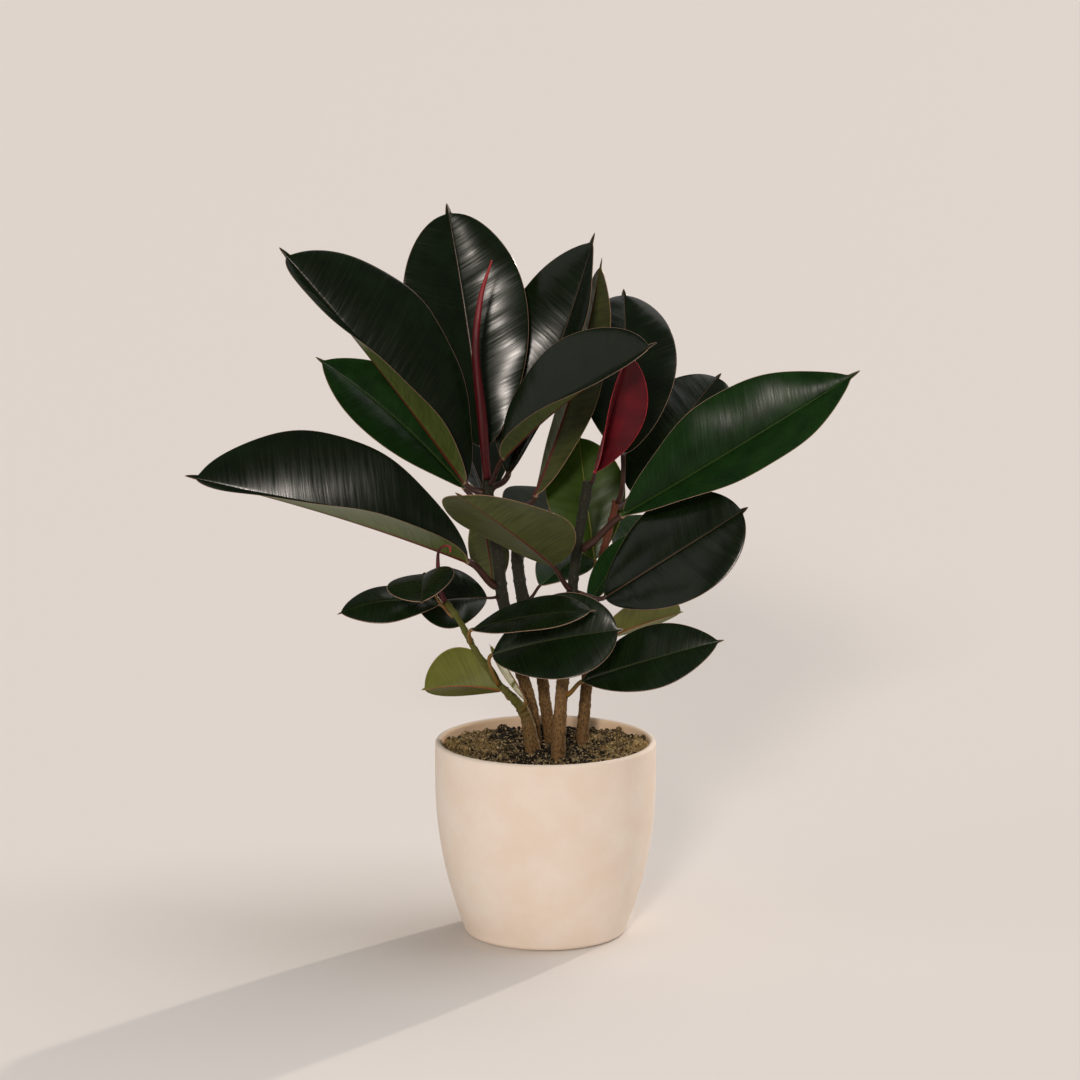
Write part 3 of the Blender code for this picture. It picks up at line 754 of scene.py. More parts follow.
@dataclass
class Planter:
    """The cast planter: a curved side, a straight band under a rounded rim, and a flat foot."""

    height: float
    radius: float
    shoulder: float = 33 * MM
    foot_radius: float = 65 * MM
    foot_fillet: float = 5 * MM
    wall: float = 5.5 * MM
    floor: float = 8 * MM
    waver: float = 0.35 * MM        # unevenness of the hand-finished cast
    segments: int = 160
    levels: int = 48
    arc_step: int = 15              # degrees between the rows of a rounded edge

    def outer(self, height: float) -> float:
        """Work out the outer radius.

        Args:
            height: Height above the foot.

        Returns:
            The radius there.
        """
        rise = self.height - self.shoulder
        draw = self.radius - self.foot_radius
        arc = (rise ** 2 + draw ** 2) / (2 * draw)
        below = max(0.0, rise - height)
        return self.radius - arc + sqrt(arc ** 2 - below ** 2)

    def inner(self, height: float) -> float:
        """Return the radius of the cavity at this height."""
        return self.outer(height) - self.wall

    def profile(self) -> list[tuple[float, float]]:
        """List the planter's rows, from the middle of the foot round the rim.

        Returns:
            The radius and height of each row.
        """
        lip = self.wall / 2
        low = self.foot_fillet
        foot = self.outer(low)
        rows = [(foot * share, 0.0) for share in (0.15, 0.5, 0.85)]
        for turn in map(radians, range(0, 91, self.arc_step)):
            rows.append((foot - low + low * sin(turn), low - low * cos(turn)))
        top = self.height - lip
        heights = [low + (top - low) * i / self.levels for i in range(1, self.levels + 1)]
        rows += [(self.outer(z), z) for z in heights]
        for turn in map(radians, range(self.arc_step, 180, self.arc_step)):
            rows.append((self.radius - lip + lip * cos(turn), top + lip * sin(turn)))
        inside = self.floor + self.foot_fillet
        rows += [(self.inner(z), z) for z in reversed(heights) if z > inside]
        edge = self.inner(inside)
        return rows + [(edge, inside), (edge - self.foot_fillet, self.floor), (edge * 0.4, self.floor)]

    def build(self) -> None:
        """Turn the planter, a little uneven."""
        draft = Draft()
        rows = []
        for radius, height in self.profile():
            points = []
            for angle in turns(self.segments):
                slow = noise.noise(polar(1.3, angle, height * 14))
                points.append(polar(radius - abs(slow) * self.waver, angle, height))
            rows.append(draft.ring(points))
        draft.tube(rows)
        settle(draft.piece("planter_shell", [CLAY]), "planter", "planter")


@dataclass
class Soil:
    """The potting soil: a lumpy bed, loose crumbs on it and bits of root and bark."""

    planter: Planter
    drop: float = 10 * MM           # from the rim down to the mean level
    mound: float = 5.5 * MM         # how far it is heaped at the two sides
    clods: float = 2.4 * MM         # height of its clods, then how many to a metre
    clod_rate: float = 45.0
    lumps: float = 2.2 * MM         # height of its small lumps, then how many to a metre
    lump_rate: float = 115.0
    grit: float = 0.9 * MM          # height of its grit, then how many grains to a metre
    grit_rate: float = 420.0
    spokes: int = 150
    rings: int = 60
    crumbs: int = 2600
    crumb_sides: int = 5
    fibres: int = 420
    fibre_steps: int = 6

    # Heights of the bed's rows against the wall, as shares of the planter's height.
    WALL_ROWS = (0.0875, 0.1875, 0.375, 0.625, 0.90625)
    # Height and width of a crumb's three rows, as shares of its size.
    CRUMB_ROWS = ((-0.75, 0.55), (0.0, 1.0), (0.7, 0.6))

    @property
    def ground(self) -> float:
        """Return the mean height of the soil."""
        return self.planter.height - self.drop

    @property
    def edge(self) -> float:
        """Return the radius of the planter's cavity at the rim."""
        return self.planter.radius - self.planter.wall

    def level(self, x: float, y: float) -> float:
        """Work out the broad soil surface, heaped a little at the two sides.

        Args:
            x: Distance to the right of the middle.
            y: Distance behind the middle.

        Returns:
            The surface's height there.
        """
        sideways = (x / self.edge) ** 2
        lumps = 0.25 * sin(x * 90 + 1) * cos(y * 80) + 0.15 * sin(x * 190) * sin(y * 170 + 2)
        return self.ground + self.mound * (sideways + lumps) * (0.5 + 0.5 * min(1.0, sideways * 4))

    def lying(self, at: Vector, lift: float = 0.0) -> Vector:
        """Lay a point on the clods and grit.

        Args:
            at: The point.
            lift: How far above them it ends.

        Returns:
            The point, moved up or down.
        """
        flat = Vector((at.x, at.y, 0))
        height = self.level(at.x, at.y) + lift
        height += noise.fractal(flat * self.clod_rate, 0.9, 2.1, 2) * self.clods
        height += noise.turbulence(flat * self.lump_rate, 3, False) * self.lumps
        height += noise.fractal(flat * self.grit_rate, 0.8, 2.0, 3) * self.grit
        return Vector((at.x, at.y, height))

    def build(self) -> None:
        """Build the bed and what lies on it."""
        self.bed()
        self.loose_crumbs()
        self.loose_fibres()

    def bed(self) -> None:
        """Build the bed of soil, down to the planter's floor."""
        draft = Draft()
        rows = []
        for share in self.WALL_ROWS:
            height = self.planter.height * share
            reach = self.planter.inner(height) - GAP
            rows.append(draft.ring([polar(reach, angle, height) for angle in turns(self.spokes)]))
        for step in range(self.rings, 0, -1):
            reach = (self.edge - GAP) * step / self.rings
            rows.append(draft.ring([self.lying(polar(reach, angle)) for angle in turns(self.spokes)]))
        draft.tube(rows)
        settle(draft.piece("soil_bed", [EARTH]), "soil", "soil")

    def loose_crumbs(self) -> None:
        """Scatter crumbs, most of them small."""
        rand = Random(7)
        draft = Draft()
        for _ in range(self.crumbs):
            at = polar((self.edge - 2 * MM) * sqrt(rand.random()), rand.uniform(0, 2 * pi))
            size = (0.5 + 3.2 * rand.random() ** 4) * MM
            self.crumb(draft, self.lying(at, size * 0.3), size, rand)
        settle(draft.piece("soil_crumbs", [EARTH], smooth=False), "soil")

    def crumb(self, draft: Draft, centre: Vector, size: float, rand: Random) -> None:
        """Add one crumb as an uneven lump.

        Args:
            draft: The draft that it joins.
            centre: Its middle.
            size: Its mean radius.
            rand: The source of its shape.
        """
        rows = []
        for rise, wide in self.CRUMB_ROWS:
            points = [centre + polar(size * wide * rand.uniform(0.65, 1.25), angle,
                                     size * (rise + rand.uniform(-0.2, 0.2)))
                      for angle in turns(self.crumb_sides, rand.uniform(0, 1))]
            rows.append(draft.ring(points))
        draft.tube(rows)

    def loose_fibres(self) -> None:
        """Scatter thin curved fibres and splinters."""
        rand = Random(19)
        draft = Draft()
        edge = self.edge - 6 * MM
        for _ in range(self.fibres):
            points = [polar(edge * sqrt(rand.random()), rand.uniform(0, 2 * pi))]
            heading = rand.uniform(0, 2 * pi)
            bend = rand.uniform(-1.6, 1.6)
            length = rand.uniform(3, 13) * MM
            thick = rand.uniform(0.16, 0.42) * MM
            lift = rand.uniform(0.2, 1.6) * MM
            for step in range(self.fibre_steps):
                way = heading + bend * step / self.fibre_steps
                points.append(points[-1] + polar(length / self.fibre_steps, way))
            points = [p for p in points if p.length < edge + 3 * MM]
            if len(points) < 3:
                continue
            arches = [sin(pi * (i + 0.5) / len(points)) for i in range(len(points))]
            points = [self.lying(point, lift * arch) for point, arch in zip(points, arches)]
            rows = []
            for point, arch, axes in zip(points, arches, carried_frames(points, Vector((0.3, 0.2, 1)))):
                wide = thick * (0.5 + 0.5 * arch)
                rows.append(draft.ring([point + spoke(*axes, angle) * wide for angle in turns(4)]))
            draft.tube(rows)
        settle(draft.piece("soil_fibres", [ROOT_BITS]), "soil")


# ---- canes

@dataclass
class Cane:
    """One cane: a tapering stem with bark, leaf scars and joints.

    Attributes:
        name: The cane's name.
        knots: x, y and height above the soil of its points and its radius there, in millimetres.
        finish: Its bark.
        joints: Heights above the soil of its rings and scars, in millimetres.
    """

    name: str
    knots: tuple[Knot, ...]
    finish: Finish
    joints: list[float] = field(default_factory=list)
    sides: int = 40
    planted: float = 45 * MM
    cork: float = 0.55 * MM         # relief of the corky bark
    crust: float = 0.2 * MM         # its mean thickness
    swelling: float = 0.45 * MM     # slow changes of girth
    ridge: float = 0.5 * MM         # height of the rings and scars
    ridge_mm: float = 1.1           # half their width
    smooth_from_mm: float = 90.0    # height above the soil from which the bark grows smoother
    smooth_over_mm: float = 60.0    # height over which it does so
    dome_steps: int = 4             # rows that round off the tip

    def line(self, ground: float, steps: int) -> tuple[Section, list[float]]:
        """Draw the cane's centre line, from its planted end to its tip.

        Args:
            ground: The soil's mean height.
            steps: Points between two knots.

        Returns:
            The line's points, then the radius at each.
        """
        knots = [Vector((x * MM, y * MM, ground + z * MM, r * MM)) for x, y, z, r in self.knots]
        slope = unit((knots[1] - knots[0]).to_3d())
        root = knots[0].copy()
        root.xyz = knots[0].to_3d() - slope * self.planted
        line = [root] + smooth_points(knots, steps)
        return [p.to_3d() for p in line], [p.w for p in line]

    def at(self, ground: float, node: float) -> tuple[Vector, Vector, float]:
        """Find where a leaf leaves the cane.

        Args:
            ground: The soil's mean height.
            node: Height above the soil, in millimetres.

        Returns:
            The cane's centre, direction and radius there.
        """
        points, radii = self.line(ground, 12)
        height = ground + node * MM
        for i, (low, high) in enumerate(zip(points, points[1:])):
            if low.z <= height <= high.z:
                share = (height - low.z) / (high.z - low.z)
                return low.lerp(high, share), unit(high - low), radii[i] + (radii[i + 1] - radii[i]) * share
        raise ValueError(f"no node at {node} mm on cane {self.name}")

    def build(self, ground: float) -> None:
        """Build the cane with its bark's relief.

        Args:
            ground: The soil's mean height.
        """
        points, radii = self.line(ground, 26)
        draft = Draft()
        rings = []
        seed = Random(self.name).uniform(0, 50)
        frames = carried_frames(points, NEAR_X)
        for i, (point, radius, axes) in enumerate(zip(points, radii, frames)):
            tall = (point.z - ground) / MM
            left = min(self.dome_steps, len(points) - 1 - i)
            dome = sqrt(1 - (1 - left / self.dome_steps) ** 2)
            ridges = sum(exp(-((tall - joint) / self.ridge_mm) ** 2) for joint in self.joints)
            bark = 1 - 0.7 * ease((tall - self.smooth_from_mm) / self.smooth_over_mm)
            section, notes = [], []
            for angle in turns(self.sides):
                way = spoke(*axes, angle)
                at = (point + way * radius) / MM
                rough = noise.fractal(Vector((at.x * 0.5 + seed, at.y * 0.5, at.z * 0.28)), 0.8, 2.1, 4)
                slow = noise.noise(Vector((at.x * 0.12, at.y * 0.12 + seed, at.z * 0.07)))
                reach = radius + (self.cork * rough + self.crust) * bark
                reach += slow * self.swelling + ridges * self.ridge
                section.append(point + way * max(reach * dome, 0.05 * MM))
                notes.append((tall, radius * angle / MM, seed))
            rings.append(draft.ring(section, cane_place=notes))
        draft.tube(rings)
        settle(draft.piece("stem_" + self.name, [self.finish]), "bark", "cane_" + self.name)


# ---- leaves

@dataclass(frozen=True)
class LeafPlan:
    """How one leaf grows.

    Attributes:
        cane: The cane that bears it.
        node: Height of its node above the soil, in mm.
        stalk: Length of its stalk in mm, then the stalk's heading and pitch.
        length: Length and width of its blade in mm, then the blade's heading and pitch half way.
        turn: Change of heading from base to tip, and arch, the fall of pitch.
        roll: Roll of its face to its left side, and twist, the change of roll from base to tip.
        fold: How far each half is folded up from flat.
        blunt: 0 for a tapered blade and 1 for a round one.
        tone: Its finishes.
    """

    cane: str
    node: float
    stalk: float
    stalk_heading: float
    stalk_pitch: float
    length: float
    width: float
    heading: float
    pitch: float
    turn: float
    arch: float
    roll: float
    twist: float
    fold: float
    blunt: float
    tone: Tone


LEAVES = {name: LeafPlan(*row) for name, row in {
    "left_1": ("left", 214, 16, -178, 30, 242, 126, 171, 51, -12, 8, 22, 12, 41, 0.6, Tone.LARGE),
    "left_2": ("left", 222, 28, 105, 72, 202, 102, 119, 72, 6, 5, 24, 0, 9, 0.9, Tone.OLD),
    "left_3": ("left", 217, 25, 56, 16, 209, 104, 18, 69, -22, -12, -28, 0, 33, 0.4, Tone.OLD),
    "left_4": ("left", 222, 30, -57, 50, 168, 92, -25, 37, 20, 15, -38, 0, 37, 0.7, Tone.LARGE),
    # left_5 takes the greener tone partly as painted light, for the sun on its near half.
    "left_5": ("left", 204, 21, 160, 36, 161, 72, 174, 41, -10, 18, 45, 0, 15, 0.1, Tone.GREEN),
    "left_6": ("left", 138, 33, -150, 42, 240, 128, 180, 17, -21, 13, 27, 0, 44, 0.5, Tone.LARGE),
    "left_7": ("left", 129, 12, -135, 4, 60, 58, -172, -4, -6, 18, 48, 0, 5, 0.8, Tone.OLD),
    "left_8": ("left", 200, 23, 108, -5, 76, 34, 60, -74, 0, 12, 20, 0, 5, 0.5, Tone.OLD),
    "middle_1": ("middle", 198, 13, 46, 31, 203, 66, 14, 74, 0, -16, 166, 0, 10, 0.4, Tone.OLD),
    "middle_2": ("middle", 121, 14, 0, 53, 72, 46, 56, 14, 3, 11, -15, 0, 10, 0.5, Tone.GREEN),
    "right_1": ("right", 198, 42, -54, 80, 148, 84, 89, 58, 11, 10, -1, 0, 5, 0.9, Tone.OLD),
    "right_2": ("right", 193, 21, 44, 30, 136, 84, 43, 41, -3, 10, -18, 0, 10, 0.9, Tone.OLD),
    "right_3": ("right", 139, 16, 101, 40, 108, 66, 108, 66, -12, 9, 17, 0, 5, 0.6, Tone.FRESH),
    "right_4": ("right", 68, 15, 60, 68, 88, 52, 29, 12, 21, 22, 49, 0, 20, 0.4, Tone.FRESH),
    "front_1": ("front", 172, 42, -11, 41, 224, 92, -2, 32, 18, 0, -50, 0, 26, 0.0, Tone.GREEN),
    "front_2": ("front", 136, 22, -6, -8, 141, 88, -14, 34, 15, 0, -65, 0, 5, 0.9, Tone.OLD),
    "front_3": ("front", 54, 19, -30, 42, 124, 57, -15, 19, 24, 9, -56, 0, 8, 0.1, Tone.SHOOT),
    "front_4": ("front", 139, 33, -126, 45, 142, 104, -129, 32, -20, 0, -9, 0, 9, 0.95, Tone.OLD),
    "front_5": ("front", 117, 16, 42, 22, 80, 38, 28, 48, 11, 20, -11, 0, 8, 0.4, Tone.GREEN),
    "side_1": ("side", 99, 20, -84, 41, 107, 46, -18, 12, 26, 20, -27, 0, 5, 0.5, Tone.SHOOT),
    "side_2": ("side", 62, 32, -104, 60, 114, 74, -18, 14, 24, 14, -58, -24, 8, 0.9, Tone.SHOOT),
    "side_3": ("side", 48, 9, 178, 50, 66, 64, 178, 0, 10, 26, -60, 15, 32, 0.6, Tone.FRESH),
    "side_4": ("side", 129, 34, -166, 58, 68, 56, -90, -9, 6, 25, -14, 5, 11, 0.7, Tone.SHOOT),
    "side_5": ("side", 121, 15, 172, 40, 84, 42, -175, -5, -3, 42, 35, 0, -12, 0.3, Tone.SHOOT),
    "side_6": ("side", 38, 12, -80, 55, 54, 36, 160, 55, 0, 10, 165, 0, 8, 0.7, Tone.FRESH),
    "back_1": ("left", 195, 29, 97, 14, 138, 88, 107, 24, 7, 7, 10, 0, 20, 0.6, Tone.OLD),
    "back_2": ("middle", 154, 28, 73, 10, 131, 82, 78, 12, 3, 7, -7, 0, 20, 0.6, Tone.OLD),
    "back_3": ("right", 143, 28, 57, 7, 121, 76, 59, 5, -3, 6, -10, 0, 18, 0.5, Tone.GREEN),
    "back_4": ("right", 92, 20, 110, -10, 90, 52, 90, -24, -8, 9, -12, 0, 15, 0.5, Tone.GREEN),
    "young": ("front", 225, 9, -40, 70, 106, 56, -32, 71, 0, 10, -160, 0, 45, 0.3, Tone.RED),
}.items()}


@dataclass
class Leaf:
    """One leaf, built as a single skin: its round stalk, then its folded blade."""

    name: str
    plan: LeafPlan
    cane: Cane
    ground: float
    thickness: float = 0.9 * MM
    apex: float = 0.955             # share of the blade below its drip tip
    drip: float = 0.055             # width of the drip tip, as a share of the blade's
    tip: float = 0.12 * MM          # half width of its very end
    stations: int = 84
    stalk_stations: int = 12
    line_steps: int = 240
    quilt: float = 0.26 * MM        # swelling of the blade between its stronger veins
    quilt_mm: float = 8.0           # their mean spacing
    quilt_run: float = 60 * MM      # distance outwards over which a swelling keeps its height
    cup: float = 9.0                # how far each half rounds over between midrib and margin
    groove: float = 0.22            # depth of the midrib's groove above, in stalk radii
    keel: float = 0.55              # height of the midrib below, in stalk radii
    reach: float = 0.35             # how far a stalk's end directions reach, as a share of its length
    flush: float = 0.5              # how squarely it leaves its cane
    flare: float = 0.35             # how much thicker it is at the cane

    # Places across half a blade: close together at the midrib and at the margin.
    ACROSS = ((0.0, 0.014, 0.032, 0.058, 0.095) + tuple(0.095 + 0.0939 * i for i in range(1, 10))
              + (0.965, 0.983, 0.994, 1.0))
    # Half widths below which the cup, skin, quilting and wavy margin fade out.
    CUP_FADE, SKIN_FADE, QUILT_FADE, WAVE_FADE = 12 * MM, 4 * MM, 20 * MM, 15 * MM
    # The numbers of a leaf's finishes.
    TOP, UNDER, STALK = range(3)

    def __post_init__(self) -> None:
        """Work out the stalk's radius and the leaf's own waves."""
        rand = Random(self.name)
        self.thick = (0.6 + 0.0092 * self.plan.length) * MM
        self.seed = rand.uniform(0, 40)
        self.phases = [rand.uniform(0, 2 * pi) for _ in range(4)]
        self.wave = rand.uniform(0.5, 1.1) * MM * self.plan.length / 200
        self.wave_mm = rand.uniform(55, 80)

    def half_width(self, v: float) -> float:
        """Work out the blade's outline, which is rounded with a drip tip.

        Args:
            v: Share of the blade's length.

        Returns:
            Half its width there.
        """
        within = min(1.0, v / self.apex)
        skew = 1.10 + 0.17 * self.plan.blunt
        power = 0.75 - 0.29 * self.plan.blunt
        body = sin(pi * within ** skew) ** power if 0 < within < 1 else 0.0
        drip = self.drip * min(1.0, (1 - v) / (1 - self.apex)) ** 0.6 if v > 0.5 else 0.0
        return self.plan.width * MM / 2 * sqrt(body * body + drip * drip)

    def midrib(self, base: Vector) -> list[Trio]:
        """Draw the midrib from base to tip.

        Args:
            base: The blade's base.

        Returns:
            The midrib's points, each with its side and face directions.
        """
        plan = self.plan
        line = []
        point = base.copy()
        for i in range(self.line_steps + 1):
            v = i / self.line_steps - 0.5
            forward, side, face = heading_frame(plan.heading + plan.turn * v, plan.pitch - plan.arch * v,
                                                plan.roll + plan.twist * v)
            line.append((point.copy(), side, face))
            point += forward * plan.length * MM / self.line_steps
        return line

    def spot(self, line: list[Trio], v: float) -> Trio:
        """Find a place on the midrib.

        Args:
            line: The midrib.
            v: Share of the blade's length.

        Returns:
            The midrib's point, side and face there.
        """
        i = min(int(v * self.line_steps), self.line_steps - 1)
        share = v * self.line_steps - i
        point, side, face = (low.lerp(high, share) for low, high in zip(line[i], line[i + 1]))
        return point, unit(side), unit(face)

    def bent(self, v: float, half: float) -> list[Triple]:
        """Fold and cup one half of the blade.

        Args:
            v: Share of the blade's length.
            half: Half its width there.

        Returns:
            For each place across the half, its share of the width, how far out it is and how far up.
        """
        fold = radians(self.plan.fold) * (1.35 - 0.7 * v)
        cup = radians(self.cup) * min(1.0, half / self.CUP_FADE)
        over = rise = before = 0.0
        found = []
        for share in self.ACROSS:
            bend = fold + cup * (1 - share - before)
            over += (share - before) * half * cos(bend)
            rise += (share - before) * half * sin(bend)
            before = share
            found.append((share, over, rise))
        return found

    def section(self, v: float, spot: Trio) -> tuple[Section, list[Triple], list[Triple]]:
        """Make one ring round the blade.

        Args:
            v: Share of the blade's length.
            spot: The midrib's point, side and face there.

        Returns:
            The ring's points, then its place and form notes.
        """
        point, side, face = spot
        half = max(self.half_width(v), self.tip)
        along = v * self.plan.length
        rib = self.thick * (1 - v) ** 0.7 + 0.15 * MM
        skin = self.thickness * min(1.0, half / self.SKIN_FADE)
        bent = self.bent(v, half)
        tops, bottoms, places, forms = [], [], [], []
        for sign, (share, over, rise) in [(-1, b) for b in bent[::-1]] + [(1, b) for b in bent[1:]]:
            far = share * half
            run = along - VEIN_SLOPE * far / MM
            swell = noise.noise(Vector((run / self.quilt_mm, sign * 7 + far / self.quilt_run, self.seed)))
            ripple = sin(2 * pi * along / self.wave_mm + self.phases[1 + (sign > 0)])
            lift = rise + swell * self.quilt * 4 * share * (1 - share) * min(1.0, half / self.QUILT_FADE)
            lift += ripple * self.wave * share ** 2 * min(1.0, half / self.WAVE_FADE)
            groove = self.groove * rib * exp(-(far / (0.5 * rib)) ** 2)
            keel = self.keel * rib * exp(-(far / (0.75 * rib)) ** 2)
            rounding = skin * (1 - sqrt(max(0.0, 1 - share ** 24))) / 2
            place = point + side * sign * over + face * lift
            tops.append(place - face * (groove + rounding))
            bottoms.append(place - face * (skin - rounding + keel))
            places.append((along, sign * far / MM, (half - far) / MM))
            forms.append((v, far / rib, self.seed))
        return tops + bottoms[-2:0:-1], places + places[-2:0:-1], forms + forms[-2:0:-1]

    def round_ring(self, point: Vector, side: Vector, face: Vector, radius: float) -> Section:
        """Make a ring of the stalk, flattened above, in the order of a blade's ring.

        Args:
            point: Its middle.
            side: Its side direction.
            face: Its upper direction.
            radius: Its radius.

        Returns:
            The ring's points.
        """
        count = 4 * (len(self.ACROSS) - 1)
        return [point + side * radius * cos(a) + face * radius * (sin(a) - 0.18 * max(0.0, sin(a)) ** 6)
                for a in (pi - turn for turn in turns(count))]

    def stalk_rings(self, draft: Draft, knots: tuple[Vector, ...], side: Vector) -> list[list[int]]:
        """Add the stalk's rings, in order from the cane to the blade.

        Args:
            draft: The draft that they join.
            knots: The four points that steer the stalk's curve, from the cane.
            side: The blade's side direction at its base.

        Returns:
            The numbers of each ring's points.
        """
        a, b, c, d = knots
        sections = []
        for i in range(self.stalk_stations):
            s = (i + 1) / self.stalk_stations
            t = 1 - s
            point = a * s ** 3 + b * 3 * s * s * t + c * 3 * s * t * t + d * t ** 3
            along = unit((b - a) * s * s + (c - b) * 2 * s * t + (d - c) * t * t)
            side = unit(side - along * side.dot(along))
            wide = self.thick * (1 + self.flare * s ** 4)
            sections.insert(0, (s, self.round_ring(point, side, side.cross(along), wide)))
        rings = []
        for s, section in sections:
            place = [(-s * self.plan.stalk, angle * self.thick / MM, NO_MARGIN_MM)
                     for angle in turns(len(section))]
            form = [(0.0, 0.0, self.seed)] * len(section)
            rings.append(draft.ring(section, leaf_place=place, leaf_form=form))
        return rings

    def blade_rings(self, draft: Draft, line: list[Trio]) -> list[list[int]]:
        """Add the blade's rings, closer together at its base and tip.

        Args:
            draft: The draft that they join.
            line: The midrib.

        Returns:
            The numbers of each ring's points.
        """
        rings = []
        for i in range(self.stations + 1):
            u = i / self.stations
            v = 0.4 * u + 0.6 * (1 - cos(pi * u)) / 2
            spot = self.spot(line, v)
            ring, place, form = self.section(v, spot)
            blend = ease((self.half_width(v) / self.thick - 0.5) / 1.8) if v < 0.5 else 1.0
            if blend < 1:
                ring = [a.lerp(b, blend) for a, b in zip(self.round_ring(*spot, self.thick), ring)]
            rings.append(draft.ring(ring, leaf_place=place, leaf_form=form))
        return rings

    def build(self) -> None:
        """Build the leaf and dress it."""
        plan = self.plan
        centre, ahead, radius = self.cane.at(self.ground, plan.node)
        stalk = heading_frame(plan.stalk_heading, plan.stalk_pitch, 0)[0]
        level = Vector((stalk.x, stalk.y, 0))
        outward = unit(level - ahead * level.dot(ahead))
        root = centre + outward * (radius + GAP)
        base = root + stalk * plan.stalk * MM
        line = self.midrib(base)
        reach = plan.stalk * MM * self.reach
        knots = (root, root + unit(stalk + outward * self.flush) * reach,
                 base - unit(line[1][0] - line[0][0]) * reach, base)
        draft = Draft()
        rings = self.stalk_rings(draft, knots, line[0][1]) + self.blade_rings(draft, line)
        half = len(rings[0]) // 2
        halves = [self.TOP] * half + [self.UNDER] * half
        for i, (low, high) in enumerate(zip(rings, rings[1:])):
            draft.band(low, high, self.STALK if i < self.stalk_stations else halves)
        draft.face(tuple(reversed(rings[0])), self.STALK)
        draft.face(tuple(rings[-1]), self.TOP)
        node = "young_leaf" if self.name == "young" else "leaf_" + self.name
        piece = draft.piece("foliage_" + self.name, list(plan.tone.value))
        settle(piece, "sheath" if self.name == "young" else "leaf", node)


# ---- buds

@dataclass
class Bud:
    """A rolled sheath on the end of a cane.

    Attributes:
        name: The bud's name, which is its node's too.
        cane: The cane that it stands on.
        knots: Its points as x, y, z from the end of the cane and its radius, in millimetres.
    """

    name: str
    cane: Cane
    knots: tuple[Knot, ...]
    sides: int = 36
    slim: float = 0.82              # its radius under the seam of its roll, as a share of the knots'
    overlap: float = 0.12           # how far the seam stands out, as a share too
    winding: float = 0.35           # turns that the seam makes on its way up
    seam_from: float = 0.55         # where round the sheath the seam starts, in turns
    height_mm: float = 180.0        # height noted at its tip, which sets the length of its streaks

    def build(self, ground: float) -> None:
        """Build the sheath with the overlap of its roll winding up it.

        Args:
            ground: The soil's mean height.
        """
        points, radii = self.cane.line(ground, 3)
        end, ahead = points[-1], unit(points[-1] - points[-2])
        knots = [(end + ahead * start).to_4d() for start in (GAP, 4 * MM)]
        for knot in knots:
            knot.w = radii[-1]
        knots += [Vector((end.x + x * MM, end.y + y * MM, end.z + z * MM, r * MM))
                  for x, y, z, r in self.knots]
        line = knots[:1] + smooth_points(knots[1:], 22)
        centres = [p.to_3d() for p in line]
        draft = Draft()
        rings = []
        for i, axes in enumerate(carried_frames(centres, NEAR_X)):
            share = i / (len(centres) - 1)
            section, place, form = [], [], []
            for k, angle in enumerate(turns(self.sides)):
                seam = (angle / (2 * pi) + self.winding * share + self.seam_from) % 1.0
                wide = line[i].w * (self.slim + self.overlap * seam)
                section.append(centres[i] + spoke(*axes, angle) * wide)
                place.append((share * self.height_mm, k * line[i].w / MM * 0.2, NO_MARGIN_MM))
                form.append((share, 0.0, 0.0))
            rings.append(draft.ring(section, leaf_place=place, leaf_form=form))
        draft.tube(rings)
        settle(draft.piece("rolled_" + self.name, [SHEATH]), "sheath", self.name)


# ---- the whole plant and its studio

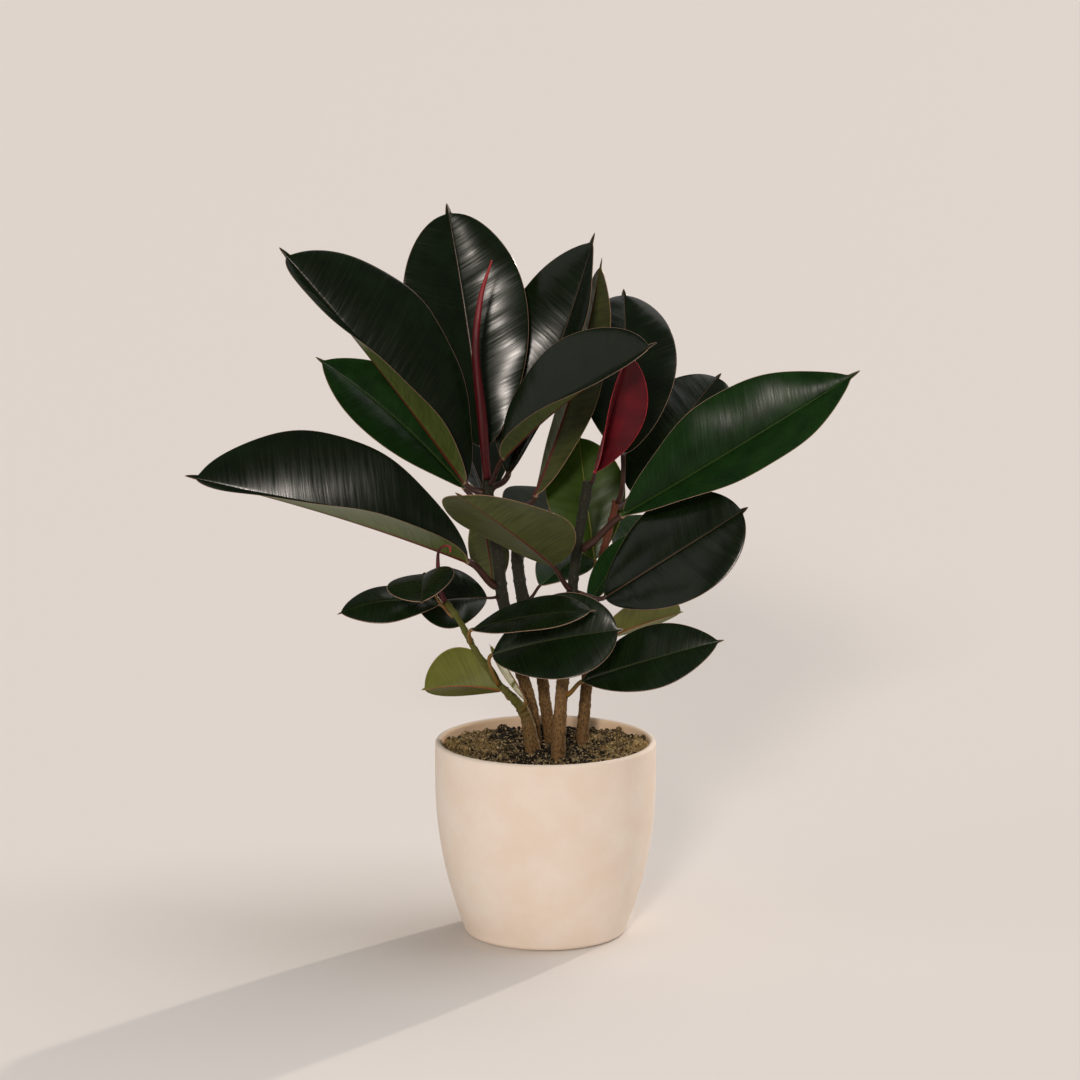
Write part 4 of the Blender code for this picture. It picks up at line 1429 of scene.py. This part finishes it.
@dataclass
class RubberPlant:
    """The planter, its soil and everything that grows in it."""

    planter: Planter
    soil: Soil
    canes: dict[str, Cane] = field(default_factory=dict)

    CANE_KNOTS = {
        "left": ((-8, 15, 0, 5.2), (-12, 14, 36, 4.7), (-21, 12, 68, 4.7), (-34, 6, 122, 4.8),
                 (-38, 3, 156, 4.8), (-44, 2, 195, 4.4), (-47, 2, 225, 3.8)),
        "middle": ((5, 22, 0, 5.0), (0, 22, 34, 4.5), (-5, 22, 71, 4.6), (-18, 22, 121, 4.9),
                   (-23, 24, 154, 4.9), (-22, 27, 183, 4.2), (-18, 28, 201, 3.4)),
        "front": ((10, -27, 0, 5.4), (12, -26, 41, 4.9), (16, -24, 86, 4.6), (21, -20, 132, 4.2),
                  (25, -16, 170, 4.0), (31, -12, 206, 4.1), (34, -10, 226, 4.1)),
        "right": ((30, 25, 0, 5.0), (33, 27, 41, 4.5), (36, 30, 78, 4.2), (40, 34, 115, 3.7),
                  (46, 40, 151, 3.3), (54, 46, 182, 2.9), (58, 48, 200, 2.7)),
        "side": ((-10, -3, 0, 6.2), (-16, -6, 31, 4.6), (-26, -12, 47, 3.1), (-37, -18, 60, 2.3),
                 (-55, -28, 88, 2.2), (-70, -36, 118, 2.2), (-80, -40, 133, 2.3)),
    }
    BUD_KNOTS = {
        "crown_bud": ("left", ((-4, -4, 48, 4.6), (-9, -4, 104, 3.6), (-5, 4, 146, 2.4), (4, 8, 176, 0.6))),
        "shoot_bud": ("side", ((-5, -1, 13, 2.5), (-6, -2, 32, 1.8), (-5, -3, 42, 1.2),
                               (0, -4, 46, 1.0), (4, -5, 45, 0.9), (4, -6, 41, 0.7))),
    }

    def build(self) -> None:
        """Build every part of the plant in turn."""
        ground = self.soil.ground
        self.planter.build()
        self.soil.build()
        for name, knots in self.CANE_KNOTS.items():
            joints = [plan.node for plan in LEAVES.values() if plan.cane == name]
            rand = Random("joints of " + name)
            tall = 8.0
            while tall < knots[-1][2]:
                joints.append(tall)
                tall += rand.uniform(9, 17)
            finish = {"side": SIDE_BARK, "right": RIGHT_BARK}.get(name, BARK)
            self.canes[name] = Cane(name, knots, finish, joints)
            self.canes[name].build(ground)
        for name, plan in LEAVES.items():
            Leaf(name, plan, self.canes[plan.cane], ground).build()
        for name, (cane, knots) in self.BUD_KNOTS.items():
            Bud(name, self.canes[cane], knots).build(ground)


@dataclass
class Studio:
    """A plain pale floor, soft light and the camera."""

    camera_from: Vector = field(default_factory=lambda: Vector((-0.0045, -3.2, 0.93)))
    camera_to: Vector = field(default_factory=lambda: Vector((-0.0045, 0.0, 0.3253)))
    lens_mm: float = 134.5
    floor_reach: float = 40.0

    def build(self) -> None:
        """Set up the studio."""
        self.camera()
        self.floor()
        self.light()
        view = bpy.context.scene.view_settings
        view.view_transform = "Standard"
        view.look = "None"

    def camera(self) -> None:
        """Add the camera."""
        data = bpy.data.cameras.new("camera")
        data.lens = self.lens_mm
        data.sensor_width = 36
        data.clip_end = 100
        camera = add_object("camera", data)
        camera.location = self.camera_from
        camera.rotation_euler = (self.camera_to - self.camera_from).to_track_quat("-Z", "Y").to_euler()
        bpy.context.scene.camera = camera

    def floor(self) -> None:
        """Add the floor, wide enough that its far edge is never in view."""
        reach = self.floor_reach
        mesh = bpy.data.meshes.new("floor")
        mesh.from_pydata([(-reach, -reach, 0), (reach, -reach, 0), (reach, reach, 0), (-reach, reach, 0)],
                         [], [(0, 1, 2, 3)])
        mesh.materials.append(StudioFloor("studio_floor", 0.9, 1.5).material())
        add_object("floor", mesh)

    def light(self) -> None:
        """Add a low sun behind on the right, lights above, on the left and in front, and a dim sky."""
        self.lamp("low_sun", Vector((0.63, 0.78, 0.32)), 1.5, 1.5, "fff0e0")
        self.lamp("top_light", Vector((0.34, 0.16, 0.92)), 1.78, 56, "fffaf9")
        self.lamp("left_light", Vector((-0.95, -0.35, 0.30)), 0.42, 50, "fff8f4")
        self.lamp("front_light", Vector((-0.15, -1.0, 0.375)), 1.35, 8, "fff4ea")
        world = bpy.data.worlds.new("studio_sky")
        world.use_nodes = True
        sky = world.node_tree.nodes["Background"]
        sky.inputs[0].default_value = linear("f4efe9")
        sky.inputs[1].default_value = 0.15
        bpy.context.scene.world = world

    def lamp(self, name: str, place: Vector, power: float, spread: float, tint: str) -> None:
        """Add one far lamp, which lights the whole floor evenly.

        Args:
            name: Its name.
            place: Where it shines from, as a direction.
            power: Watts for each square metre.
            spread: How wide it looks from the plant, in degrees.
            tint: Its colour in hex.
        """
        data = bpy.data.lights.new(name, "SUN")
        data.energy = power
        data.angle = radians(spread)
        data.color = linear(tint)[:3]
        lamp = add_object(name, data)
        lamp.location = place
        lamp.rotation_euler = (-place).to_track_quat("-Z", "Y").to_euler()


def corners(box: tuple) -> list[list[float]]:
    """Return a box's two corners as plain lists."""
    return [[float(number) for number in corner] for corner in box]


def main() -> None:
    """Load the frame, build the plant over it, and set up the studio."""
    logging.basicConfig(level=logging.INFO, format="%(name)s: %(message)s")
    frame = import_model()
    LOG.info("frame loaded with %d nodes", len(frame["nodes"]))
    low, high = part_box("planter")
    planter = Planter(height=high[2] - low[2], radius=(high[0] - low[0]) / 2)
    RubberPlant(planter, Soil(planter)).build()
    Studio().build()


if __name__ == "__main__":
    main()
